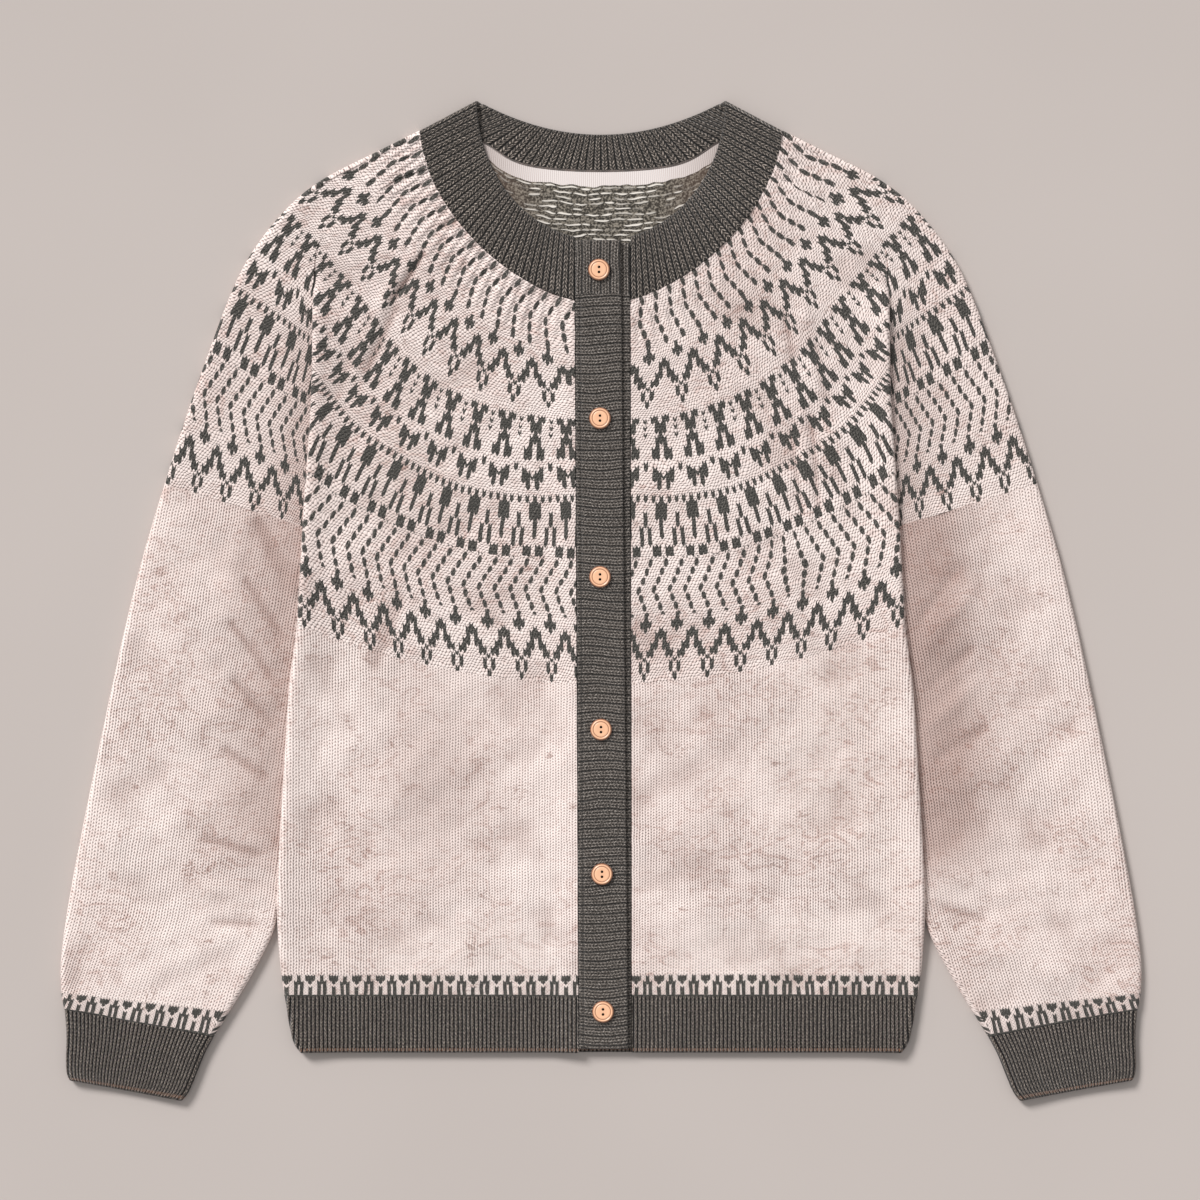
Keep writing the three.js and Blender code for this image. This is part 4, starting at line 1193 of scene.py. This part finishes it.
def yoke_front(name, side):
    start = neck_angle(NECK_SEAM, front_edge(side, NECK_SEAM["top"] - NECK_SEAM["depth"]))
    top, foot = neckline(NECK_SEAM, start), front_edge(side, YOKE_FOOT["low"])
    foot_line = yoke_foot(foot)
    foot_corner = foot_line(np.array([0.0]))[0]
    plan = coons(lambda u: neckline(NECK_SEAM, mix(start, RAGLAN_AT_NECK, u)), foot_line,
                 lambda v: mix(top, foot_corner, v), fold_line)
    down = np.concatenate([np.linspace(0, sleeve_share, YOKE_ROWS),
                           np.linspace(sleeve_share, 1, FOOT_ROWS)[1:]])
    grid, opened = folded_cloth(plan, front_layer(side, FRONT_MID), ridge_of(plan),
                                np.linspace(0, 1, ACROSS), down, CLOTH)
    counts = yoke_counts(opened, side, plate_body)
    grid[..., 2] += gathers(counts)
    piece = wall(f"yoke_front_{name}_knit", finished(grid, side), CLOTH, counts, stranded,
                 shade=shade_of(CREASES, side, opened))
    declare(piece, [f"yoke_front_{name}"], grid)


for name, side in SIDES.items():
    yoke_front(name, side)


# %% The fronts' shares of the body
YOKE_SAG = 30
# A soft patch of shade is painted on the left front: its middle, reach and depth
LEFT_SHADE = {"out": 120, "up": -125, "wide": 36, "tall": 75, "deep": 0.5}


def body_counts(place, side):
    """Stitch from the centre, and rows above the rib, level at the hem and dipped at the yoke."""
    out, up = place[..., 0], place[..., 1]
    foot = dipped(YOKE_FOOT, np.minimum(out, BODY_SIDE[0][0]))
    height = (up - HEM_TOP) / (foot - HEM_TOP) * (-YOKE_SAG - HEM_TOP)
    rows_up = mix(up - HEM_TOP, height, ease(12, 60, up - HEM_TOP))
    return np.stack([side * out / STITCH_WIDE, rows_up / ROW_HIGH], -1)


def body_front(name, side):
    foot, low = front_edge(side, YOKE_FOOT["low"]), front_edge(side, HEM_TOP)
    foot_line = yoke_foot(foot)
    foot_corner = foot_line(np.array([0.0]))[0]

    def hem_line(u):
        return np.stack([mix(low, BODY_SIDE[-1][0], u), np.full_like(u, HEM_TOP)], -1)
    plan = coons(foot_line, hem_line, lambda v: mix(foot_corner, np.array([low, HEM_TOP]), v),
                 body_side)
    grid, opened = folded_cloth(plan, front_layer(side, FRONT_MID), ridge_of(plan),
                                np.linspace(0, 1, ACROSS), np.linspace(0, 1, BODY_ROWS), CLOTH)
    shade = shade_of(CREASES, side, opened)
    if side < 0:
        from_out = (opened[..., 0] - LEFT_SHADE["out"]) / LEFT_SHADE["wide"]
        from_up = (opened[..., 1] - LEFT_SHADE["up"]) / LEFT_SHADE["tall"]
        shade = shade + LEFT_SHADE["deep"] * np.exp(-from_out**2 - from_up**2)
    piece = wall(f"front_{name}_knit", finished(grid, side), CLOTH, body_counts(opened, side),
                 plain_wool, shade=shade)
    declare(piece, [f"front_{name}"], grid)


for name, side in SIDES.items():
    body_front(name, side)


# %% The fronts' shares of the hem
RIB_PITCH, RIB_DEPTH, HEM_COLUMNS = 2.85, 0.42, 460
HEM_FOLD = (6.8, 2.3, TAIL, 1)


def rib_relief(ribs, depth=RIB_DEPTH, sharp=0.55):
    """Round ribs with furrows between them; a rib's middle is at a half."""
    return -depth * (1 - np.abs(np.sin(math.pi * ribs)) ** sharp)


def hem_front(name, side):
    def plan(u, v):
        outer = hem_side(v)
        return np.stack([mix(front_edge(side, outer[1]), outer[0], u),
                         np.full_like(u, outer[1])], -1)
    grid, opened = folded_cloth(plan, front_layer(side, RIB_FRONT_MID), lambda v: HEM_FOLD,
                                np.linspace(0, 1, HEM_COLUMNS), stations(40, 2.6, ("end",)), RIB)
    counts = np.stack([side * opened[..., 0] / RIB_PITCH, opened[..., 1] - HEM_FOOT], -1)
    piece = wall(f"hem_front_{name}_rib", finished(grid, side), RIB, counts, ribbing,
                 relief=rib_relief(counts[..., 0]), edges=("bottom",))
    declare(piece, [f"hem_front_{name}"], grid)


for name, side in SIDES.items():
    hem_front(name, side)

# %% [markdown]
# ## The shoulders
#
# The yoke goes on round each shoulder and upper arm. This share runs from the fold of the front,
# out over the arm, round a soft roll at the outer edge and back underneath to the yoke's back. It
# is built row by row, because each row crosses the arm at a different slant.

# %% The shoulders' shares of the yoke
SHOULDER_COLUMNS, UNDER_COLUMNS = 46, 12
BACK_STITCH = 2.7
# Painted shade on the shoulder beside its fold with the front: how far it reaches, how dark it is
FOLD_SHADE = {"reach": 26, "deep": 0.5}


def shoulder_row(v, side):
    """One row from the fold over the arm, round its edge and back underneath."""
    outer, inner = shoulder(v), fold_line(v * sleeve_share)
    outward = unit(outer - inner)
    strength = fold_strength(inner[1])
    clear = 10 * SEAM * strength * (1 - strength)
    inner = inner + outward * mix(clear, -SLEEVE_TUCK, float(ease(0.97, 1, strength)))
    roll = 0.5 * SHOULDER_RISE * float(ease(-25, 60, np.linalg.norm(outer - inner)))
    inset, high, _ = fold_path(CLOTH / 2 + 2 * roll, roll, CLOTH, SHOULDER_TAIL, 1)
    share = np.linspace(0, 1, SHOULDER_COLUMNS)[:, None]
    front = mix(inner, outer - outward * inset[0], share)
    from_roll = (np.linalg.norm(front - outer, axis=1) - inset[0]) / SHOULDER_REACH
    up = FRONT_MID + (high[0] - FRONT_MID) * np.exp(-(from_roll**2))
    settled = ease(0, 10, np.linalg.norm(front - inner, axis=1)) if strength > 0.5 else 1
    laid = 1 if strength < 0.02 else 0.5
    up = up + settled * (crease_height(SLEEVE_CREASES, side, front) + laid * hang(front, side))
    under = outer - outward * inset[1:, None]
    back = mix(under[-1], back_raglan(v), np.linspace(0.08, 1, UNDER_COLUMNS)[:, None])
    return np.column_stack([np.vstack([front, under, back]),
                            np.concatenate([up, high[1:], np.full(UNDER_COLUMNS, CLOTH / 2)])])


def sleeve_yoke(name, side):
    grid = np.array([shoulder_row(v, side) for v in np.linspace(0, 1, 88)])
    counts = yoke_counts(grid[..., :2], side, plate_sleeve)
    last = SHOULDER_COLUMNS - 1
    run = np.linalg.norm(np.diff(grid[:, last:], axis=1), axis=2).cumsum(1)
    counts[:, last + 1:, 0] = counts[:, last:last + 1, 0] + side * run / BACK_STITCH
    from_fold = np.linalg.norm(grid[..., :2] - grid[:, :1, :2], axis=-1) / FOLD_SHADE["reach"]
    shade = FOLD_SHADE["deep"] * np.exp(-from_fold**2) * ease(215, 170, grid[..., 1])
    piece = wall(f"yoke_sleeve_{name}_knit", finished(grid, side), CLOTH, counts, stranded,
                 shade=shade)
    declare(piece, [f"yoke_sleeve_{name}"], grid)


for name, side in SIDES.items():
    sleeve_yoke(name, side)

# %% [markdown]
# ## Sleeves and cuffs
#
# A sleeve is a tube of knitting pressed flat, and so is a cuff. Each row is one closed ring: over
# the front, round the outer edge, back along the table and up round the inner edge. A sleeve
# swells a little in the middle and holds creases on its front. Shade is painted into its colour
# beside the body, where its inner edge is tucked in, and in the troughs of its creases.


# %% A flattened tube
def tube(inner, outer, thickness, side, inner_turn, outer_turn, mid, swell, rows, across, table=None):
    """A flattened tube: over the front, round the outer edge, back underneath, round the inner."""
    grid, wide = [], []
    for v in rows:
        start_at, end_at = inner(v), outer(v)
        span = np.linalg.norm(end_at - start_at)
        outward = (end_at - start_at) / span
        r_in, r_out = inner_turn(start_at[1]), outer_turn
        start, end = r_in + thickness / 2, span - r_out - thickness / 2
        inset = np.linspace(start, end, across)
        roll = sum((thickness / 2 + 2 * r - mid) * np.exp(-((d / SHOULDER_REACH) ** 2))
                   for d, r in ((inset - start, r_in), (end - inset, r_out)))
        high = mid + swell(v) * np.sin(math.pi * (inset - start) / (end - start)) + roll
        places = start_at + outward * inset[:, None]
        if table is not None:
            settled = ease(0, 12, inset - start) * ease(0, 12, end - inset)
            settled = settled * ease(0, 0.03, v) * ease(1, 0.97, v)
            high = high + settled * (crease_height(table, side, places) + hang(places, side))
        angle = np.linspace(0, math.pi, ARC_STEPS + 1)[1:-1]
        at_outer = end_at - outward * (thickness / 2 + r_out * (1 - np.sin(angle)))[:, None]
        at_inner = start_at + outward * (thickness / 2 + r_in * (1 - np.sin(angle[::-1])))[:, None]
        under = start_at + outward * np.linspace(end, start, across // 2)[:, None]
        low = thickness / 2
        grid.append(np.column_stack([
            np.vstack([places, at_outer, under, at_inner]),
            np.concatenate([high, low + r_out * (1 + np.cos(angle)), np.full(across // 2, low),
                            low + r_in * (1 + np.cos(angle[::-1]))])]))
        wide.append(span)
    return np.array(grid), np.array(wide)


print("a tube's edge turns in", ARC_STEPS, "steps")


# %% Counting round and along a tube
def around(grid):
    """Millimetres round a tube from its first column, with the closing column added."""
    loop = np.concatenate([grid, grid[:, :1]], 1)
    run = np.linalg.norm(np.diff(loop, axis=1), axis=2)
    return np.insert(np.cumsum(run, 1), 0, 0, axis=1)


def from_foot(front):
    """Millimetres from each row of a tube to its last row, along the middle of its front."""
    lengths = np.linalg.norm(np.diff(front.mean(1), axis=0), axis=1)
    return np.insert(np.cumsum(lengths[::-1]), 0, 0)[::-1]


print("round the flat patch:", around(flat_patch)[0], "mm")

# %% The sleeves
SLEEVE_COLUMNS, SWELL, SLEEVE_TURN = 46, 1.2, (1.5, 2.3)
# Painted shade beside the body: how far it reaches, and its strength on the left and right sleeves
TUCK_SHADE = {"reach": 46, "left": 0.8, "right": 1.5}


def sleeve(name, side):
    inner, outer = curve_through(SLEEVE_INNER, even=False), curve_through(SLEEVE_OUTER, even=False)
    grid, wide = tube(inner, outer, CLOTH, side,
                      lambda up: mix(*SLEEVE_TURN, float(ease(205, 250, -up))),
                      SHOULDER_RISE / 2, FRONT_MID,
                      lambda v: SWELL * float(ease(0, 0.15, v)) * (1 - float(ease(0.9, 1, v))),
                      np.linspace(0, 1, 140), SLEEVE_COLUMNS, SLEEVE_CREASES)
    run = around(grid)
    middle = run[:, :1] + wide[:, None] / 2
    rows_up = from_foot(grid[:, :SLEEVE_COLUMNS]) / ROW_HIGH
    counts = np.stack([side * (run - middle) / STITCH_WIDE,
                       np.repeat(rows_up[:, None], run.shape[1], 1)], -1)
    into_fold = run[:, :-1] / TUCK_SHADE["reach"]
    shade = TUCK_SHADE[name] * np.exp(-into_fold**2) * ease(-215, -150, grid[..., 1])
    over = np.arange(grid.shape[1]) < SLEEVE_COLUMNS
    shade = np.clip(shade + over * shade_of(SLEEVE_CREASES, side, grid[..., :2]), 0, 1)
    piece = wall(f"sleeve_{name}_knit", finished(grid, side), CLOTH, counts, plain_wool, closed=True,
                 shade=shade)
    declare(piece, [f"sleeve_{name}"], grid, closed=True)


for name, side in SIDES.items():
    sleeve(name, side)


# %% The cuffs
CUFF_COLUMNS, CUFF_PITCH, CUFF_TURN = 210, 2.75, 2.2


def cuff(name, side):
    inner, outer = curve_through(CUFF_INNER, even=False), curve_through(CUFF_OUTER, even=False)
    grid, _ = tube(inner, outer, RIB, side, lambda up: CUFF_TURN, CUFF_TURN, RIB_FRONT_MID,
                   lambda v: 0, stations(47, 2.4, ("end",)), CUFF_COLUMNS)
    run = around(grid)
    ribs = np.round(run[:1, -1:] / CUFF_PITCH)
    high = from_foot(grid[:, :CUFF_COLUMNS])
    counts = np.stack([side * run / run[:, -1:] * ribs,
                       np.repeat(high[:, None], run.shape[1], 1)], -1)
    piece = wall(f"cuff_{name}_rib", finished(grid, side), RIB, counts, ribbing, closed=True,
                 relief=rib_relief(counts[:, :-1, 0]), edges=("bottom",))
    declare(piece, [f"cuff_{name}"], grid, closed=True)


for name, side in SIDES.items():
    cuff(name, side)

# %% [markdown]
# ## The neckband
#
# The neckband stands in rounder, wider ribs. Its front shares start beside the bands, follow the
# neck between the seam and the free edge, and turn over at the corner of the neck, where the back
# share takes over. Its heights are counted from a hundred, so that the tan thread, which the
# ribbing's finish draws near nought, stays off it.

# %% The front of the neckband
NECK_RIBS = {"front": 33, "back": 44}
COLUMNS_A_RIB, HEIGHT_FROM = 8, 100
NECK_FOLD = (6.4, 2.5, 6.8, 1)


def neckband_front(name, side):
    band_edge = (-TOP_BAND["left"][0] if side < 0 else UNDER_BAND["right"][0]) + SEAM

    def on_line(line, v):
        return neckline(line, mix(neck_angle(line, band_edge), math.pi / 2, v))

    def plan(along, across):
        seam = np.array([on_line(NECK_SEAM, a) for a in along])
        edge = np.array([on_line(NECK_EDGE, a) for a in along])
        return mix(seam, edge, across)
    rise = TOP_BAND_MID - RIB_FRONT_MID - SEAM if side < 0 else 0
    fold_way = unit(np.array([NECK_EDGE["half"] - NECK_SEAM["half"],
                              NECK_EDGE["top"] - NECK_SEAM["top"]]))
    columns = NECK_RIBS["front"] * COLUMNS_A_RIB
    grid, _ = folded_cloth(
        plan, lambda place: RIB_FRONT_MID + rise * (1 - ease(0, BAND_SLOPE, place[:, 0] - band_edge)),
        lambda v: NECK_FOLD, np.linspace(0, 1, columns + 1),
        mix(SEAM / 40, 1, stations(40, 2.2, ("end",))), RIB, along=fold_way)
    rows, all_columns = grid.shape[:2]
    round_fold = NECK_RIBS["front"] + np.arange(1, all_columns - columns) * 0.25
    along = np.concatenate([np.linspace(0, NECK_RIBS["front"], columns + 1), round_fold])
    up = np.linspace(40, 0, rows) + HEIGHT_FROM
    counts = np.stack(np.broadcast_arrays(side * along[None], up[:, None]), -1)
    piece = wall(f"neckband_front_{name}_rib", finished(grid, side), RIB, counts, neck_ribbing,
                 relief=rib_relief(counts[..., 0], sharp=1.0), edges=("bottom",))
    declare(piece, [f"neckband_front_{name}"], grid)


for name, side in SIDES.items():
    neckband_front(name, side)


# %% The back of the neckband
NECK_CORNER = {"rise": 10.5, "out": 88, "width": 20}
BACK_CLEAR = 4.5


def between(low_line, high_line, rows, columns, mid):
    """A level grid from one line to another, and how far out each column is, from -1 to 1."""
    u = np.linspace(-1, 1, columns)
    low, high = low_line(u), high_line(u)
    flat = np.array([mix(low, high, v) for v in rows])
    return np.concatenate([flat, np.full((*flat.shape[:2], 1), mid)], -1), u


def back_seam(out):
    """The seam at the back of the neck, lifted where it runs up to the corners."""
    from_corner = (np.abs(out) - NECK_CORNER["out"]) / NECK_CORNER["width"]
    return dipped(BACK_SEAM, out) + NECK_CORNER["rise"] * np.exp(-from_corner**2)


def neckband_back():
    def edge(u):
        out = u * (BACK_EDGE["half"] - BACK_CLEAR)
        return np.stack([out, dipped(BACK_EDGE, out)], -1)

    def seam(u):
        out = u * (BACK_SEAM["half"] - BACK_CLEAR)
        return np.stack([out, back_seam(out)], -1)
    ribs = NECK_RIBS["back"]
    grid, u = between(edge, seam, stations(27, 2.2, ("start",)), ribs * COLUMNS_A_RIB + 1, RIB / 2)
    up = np.linspace(40, 10, len(grid)) + HEIGHT_FROM
    counts = np.stack(np.broadcast_arrays(((u + 1) * ribs / 2)[None], up[:, None]), -1)
    piece = wall("neckband_back_rib", grid, RIB, counts, neck_ribbing,
                 relief=rib_relief(counts[..., 0], 0.4, 1.0), edges=("top",))
    declare(piece, ["neckband_back"], grid)


neckband_back()

# %% [markdown]
# ## The back
#
# The back lies on the table under everything else, in a share of the yoke, a share of the body and
# a share of the hem. It stops short of the fronts' turned edges, which lie beside it, and its
# creases only rise, because the table is flat. Its inner face carries the wrong side of the
# pattern, which shows through the neck.

# %% The back's share of the yoke
YOKE_STITCH, YOKE_ROUNDS = (1.9, 2.7), 118
# Painted shade on the back's yoke, which shows through the neck: it grows between these distances out
NECK_SHADE = (30, 95)
BACK_PUFF, BODY_PUFF = 0.6, 0.5


def fold_out(up):
    return float(np.interp(-up, -fold_places[:, 1], fold_places[:, 0]))


def back_sides():
    """The side of the yoke's back, as (out, up), from the foot to the neck."""
    lower = [(fold_out(up) - TAIL - TAIL_CLEAR, up) for up in np.linspace(-17, 52, 16)[:-1]]
    upper = []
    for t in np.linspace(1, 0, 60):
        place = back_raglan(mix(0.004, 0.996, t))
        if fold_strength(place[1]) > 0.01:
            place = np.array([fold_out(place[1]) - TAIL - TAIL_CLEAR, place[1]])
        else:
            place = place - [1.5 * SEAM, SEAM]
        upper.append(tuple(place))
    return lower + upper


def yoke_back():
    edges, grid, counts = back_sides(), [], []
    u = np.linspace(-1, 1, 100)
    for j, (half, up) in enumerate(edges):
        share = j / (len(edges) - 1)
        out = u * half
        foot = dipped(YOKE_FOOT, out) + SEAM / 2 - dipped(YOKE_FOOT, half)
        neck_rise = back_seam(out) - SEAM - dipped(BACK_SEAM, half)
        high = up + mix(foot, neck_rise, share**3)
        puff = crease_height(BACK_CREASES, 1, np.stack([np.abs(out), high], -1))
        grid.append(np.column_stack([out, high, CLOTH / 2 + np.maximum(0, puff) * BACK_PUFF]))
        down = np.clip((back_seam(out) - high) / (back_seam(out) - dipped(YOKE_FOOT, out)), 0, 1)
        counts.append(np.column_stack([out / mix(*YOKE_STITCH, down), YOKE_ROUNDS * down]))
    grid, counts = np.array(grid), np.array(counts)
    shade = 0.5 * ease(*NECK_SHADE, np.abs(grid[..., 0]))
    piece = wall("yoke_back_knit", grid, CLOTH, counts, stranded, inside=wrong_side, shade=shade)
    declare(piece, ["yoke_back"], grid)


yoke_back()


# %% The back's shares of the body and the hem
BACK_HEM_COLUMNS = 577


def body_back():
    u, grid = np.linspace(-1, 1, 90), []
    for v in np.linspace(0, 1, 60):
        edge = body_side(v) - [TAIL + TAIL_CLEAR, 0]
        out = u * edge[0]
        foot = dipped(YOKE_FOOT, out) - dipped(YOKE_FOOT, edge[0]) - SEAM / 2
        grid.append(np.column_stack([out, edge[1] + mix(foot, SEAM / 2, v), np.full(len(u), CLOTH / 2)]))
    grid = np.array(grid)
    places = np.stack([np.abs(grid[..., 0]), grid[..., 1]], -1)
    grid[..., 2] += BODY_PUFF * np.maximum(0, crease_height(BACK_CREASES, -1, places))
    counts = body_counts(places, 1)
    counts[..., 0] *= np.sign(grid[..., 0])
    piece = wall("back_knit", grid, CLOTH, counts, plain_wool)
    declare(piece, ["back"], grid)


def hem_back():
    def level(half, up):
        return lambda u: np.stack([u * (half - TAIL - TAIL_CLEAR), np.full_like(u, up)], -1)
    grid, _ = between(level(HEM_SIDE[0][0], HEM_TOP - SEAM / 2), level(HEM_SIDE[-1][0], HEM_FOOT),
                      stations(39, 2.6, ("end",)), BACK_HEM_COLUMNS, RIB / 2)
    counts = np.stack([grid[..., 0] / RIB_PITCH, grid[..., 1] - HEM_FOOT], -1)
    piece = wall("hem_back_rib", grid, RIB, counts, ribbing,
                 relief=rib_relief(counts[..., 0]), edges=("bottom",))
    declare(piece, ["hem_back"], grid)


body_back()
hem_back()

# %% [markdown]
# ## The front bands
#
# The bands are ribbed sideways: their ribs run across, so down the band they look like a ladder
# of small herringbones, and only next to the neck do they stand upright. The top band has the
# rolled seam that joins it to the front along one edge and a plain rounded one along the other,
# and its ribs are pressed flat round each button.

# %% Bands
UPRIGHT_FROM, UPRIGHT_HALF = 214, 0.03
ROLLED_SEAM, SEAM_FURROW = 1.7, 3.5
NECK_RIB = 6.6


def band(name, node, shape, mid, lift):
    height = shape["top"] - BAND_FOOT
    change = np.array([UPRIGHT_FROM - UPRIGHT_HALF, UPRIGHT_FROM + UPRIGHT_HALF])
    rows = stations(height, 0.85, ("start", "end"))
    rows = np.sort(np.append(rows, (shape["top"] - change) / height))
    left = mix(*shape["left"], rows)[:, None]
    right = mix(*shape["right"], rows)[:, None]
    u = stations(32, 1.15, ("start", "end"))
    x = left + (right - left) * u[None]
    y = shape["top"] - height * rows[:, None] + 0 * x
    from_left, from_right = x - left, right - x
    upright = ease(UPRIGHT_FROM - 3, UPRIGHT_FROM + 3, y)
    ladder = mix(1 - np.abs(np.sin(math.pi * y / BAND_RIB)) ** 0.6,
                 1 - np.abs(np.sin(math.pi * x / NECK_RIB)) ** 0.6, upright)
    pull = sum(np.exp(-((x - bx) ** 2 + (y - by) ** 2) / 90) for bx, by in BUTTONS)
    field = np.maximum(upright, ease(3.2, 4.2, from_left)) * ease(1.6, 2.6, from_right)
    relief = -mix(0.16, 0.55, upright) * ladder * field * (1 - np.clip(pull * 1.3, 0, 1))
    seam = lift * (1 - upright)
    relief = relief - seam * 0.9 * np.exp(-((from_left - SEAM_FURROW) / 0.55) ** 2)
    relief = relief + seam * 0.35 * np.exp(-((from_left - ROLLED_SEAM) / 1.2) ** 2)
    ripple = 0.25 * np.sin(y / 23) * ease(0, 8, from_left) * ease(0, 8, from_right)
    grid = np.stack([x, y, mid + lift * ripple], -1)
    bend = 0.9 * np.sin(x / 9 + y / 60) + 0.8 * np.sin(y / 37)
    level = np.stack([(y + bend) / BAND_COLUMN, HEIGHT_FROM + x - 2 * (from_left < 3.4)], -1)
    plumb = np.stack([x / BAND_COLUMN, HEIGHT_FROM + y], -1)
    counts = mix(level, plumb, (y > UPRIGHT_FROM)[..., None])
    piece = wall(name, grid, RIB, counts, band_knit, relief=relief,
                 edges=("left", "right", "top", "bottom"))
    declare(piece, [node], grid)


band("button_band_knit", "button_band", UNDER_BAND, UNDER_BAND_MID, 0)
band("buttonhole_band_knit", "buttonhole_band", TOP_BAND, TOP_BAND_MID, 1)

# %% [markdown]
# ## Buttons
#
# A button is a turned disc: a half-outline spun round its axis, with a shallow groove inside the
# rim. The two holes are drilled with a boolean, which cuts exactly, and a small bevel takes the
# sharpness off every edge. All six are copies of one disc.


# %% Turning and drilling
def turned(outline, segments=56):
    angles = np.linspace(0, 2 * math.pi, segments, endpoint=False)
    rings = np.array([[(r * math.cos(a), r * math.sin(a), z) for a in angles] for r, z in outline])
    points = rings.reshape(-1, 3).tolist()
    faces = [tuple(range(segments))[::-1]]
    for j in range(len(outline) - 1):
        for i in range(segments):
            following = (i + 1) % segments
            faces.append((j * segments + i, j * segments + following,
                          (j + 1) * segments + following, (j + 1) * segments + i))
    faces.append(tuple((len(outline) - 1) * segments + i for i in range(segments)))
    mesh = bpy.data.meshes.new("turned")
    mesh.from_pydata([[c / 1000 for c in p] for p in points], [], faces)
    return mesh


SOFTENED = 0.0001


def button_mesh():
    """Under side, rim, groove and well of the outline, then the two holes and the softened edges."""
    r, t, g = BUTTON["radius"], BUTTON["thickness"], BUTTON["groove"]
    under = [(1.0, 0), (r - 1.1, 0), (r - 0.5, 0.15), (r - 0.1, 0.55), (r, 1.1)]
    rim = [(r, t - 1.1), (r - 0.3, t - 0.75), (r - 0.65, t - 0.42), (r - 0.95, t - 0.18),
           (r - 1.3, t - 0.02)]
    groove = [(g + 0.8, t - 0.02), (g + 0.45, t - 0.14), (g + 0.15, t - 0.42), (g - 0.1, t - 0.46),
              (g - 0.35, t - 0.3), (g - 0.7, t - 0.14)]
    well = [(g - 1.6, t - 0.18), (2.6, t - 0.24), (1.0, t - 0.25)]
    outline = under + rim + groove + well
    body = bpy.data.objects.new("button_blank", turned(outline))
    bpy.context.collection.objects.link(body)
    drills = []
    for sign in (-1, 1):
        drill = bpy.data.objects.new("drill", turned([(BUTTON["hole"], -1), (BUTTON["hole"], t + 1)], 28))
        drill.location = (0, sign * BUTTON["apart"] / 1000, 0)
        bpy.context.collection.objects.link(drill)
        cut = body.modifiers.new("hole", "BOOLEAN")
        cut.operation, cut.solver, cut.object = "DIFFERENCE", "EXACT", drill
        drills.append(drill)
    soften = body.modifiers.new("soften", "BEVEL")
    soften.width, soften.segments, soften.limit_method = SOFTENED, 2, "ANGLE"
    soften.angle_limit = math.radians(50)
    graph = bpy.context.evaluated_depsgraph_get()
    mesh = bpy.data.meshes.new_from_object(body.evaluated_get(graph))
    for spare in [body, *drills]:
        bpy.data.objects.remove(spare)
    mesh.shade_smooth()
    mesh.set_sharp_from_angle(angle=math.radians(40))
    mesh.materials.clear()
    mesh.materials.append(peach)
    return mesh


disc, lift = button_mesh(), TOP_BAND_MID + RIB / 2 + SEAM
for number, (out, up) in enumerate(BUTTONS, 1):
    piece = bpy.data.objects.new(f"button_{number}_turned", disc.copy())
    piece.data.transform(Matrix.Translation((out / 1000, up / 1000, lift / 1000)))
    bpy.context.collection.objects.link(piece)
    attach(piece, "root")
    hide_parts(f"button_{number}")
print("buttons:", len(BUTTONS), "with", len(disc.polygons), "faces each")

# %% [markdown]
# ## Table, light and camera
#
# The table is a plain warm grey. Light comes softly from the upper left, from a wide sun, with a
# pale sky filling the shadows. The camera looks straight down.

# %% The table
table_material, wire = start_material("table")
tone = speckle(wire, wire.node("TexCoord", output=3), 3, 2).soft_step(0.3, 0.7)
surface = wire.node("BsdfPrincipled", {}, {
    "Base Color": blend(tone, paint((195, 186, 181)), paint((198, 189, 184))), "Roughness": 0.9})
wire.node("OutputMaterial", {}, {"Surface": surface})
table_mesh = bpy.data.meshes.new("table")
far = 6
table_mesh.from_pydata([(-far, -far, 0), (far, -far, 0), (far, far, 0), (-far, far, 0)], [],
                       [(0, 1, 2, 3)])
table_mesh.materials.append(table_material)
table = bpy.data.objects.new("table", table_mesh)
bpy.context.collection.objects.link(table)
print("table:", 2 * far, "m wide")

# %% The light
sun = bpy.data.lights.new("window", "SUN")
sun.energy, sun.angle, sun.color = 2.95, math.radians(20), (1.0, 0.987, 0.98)
window = bpy.data.objects.new("window", sun)
window.rotation_euler = (math.radians(-38), math.radians(-40), 0)
bpy.context.collection.objects.link(window)

sky = bpy.data.worlds.new("room")
sky.use_nodes = True
sky.node_tree.nodes["Background"].inputs["Color"].default_value = (1.0, 0.99, 0.985, 1)
sky.node_tree.nodes["Background"].inputs["Strength"].default_value = 0.48
bpy.context.scene.world = sky
print("sun:", sun.energy, "watts a square metre")

# %% The camera
HEIGHT, FRAME_WIDTH = 2.5, 0.84
lens = bpy.data.cameras.new("camera")
lens.sensor_width = 36
lens.lens = lens.sensor_width * HEIGHT / FRAME_WIDTH
camera = bpy.data.objects.new("camera", lens)
camera.location = (-0.0007, 0.0007, HEIGHT)
bpy.context.collection.objects.link(camera)
bpy.context.scene.camera = camera
bpy.context.scene.view_settings.view_transform = "Standard"
print("camera:", HEIGHT, "m up, lens", round(lens.lens, 1), "mm")
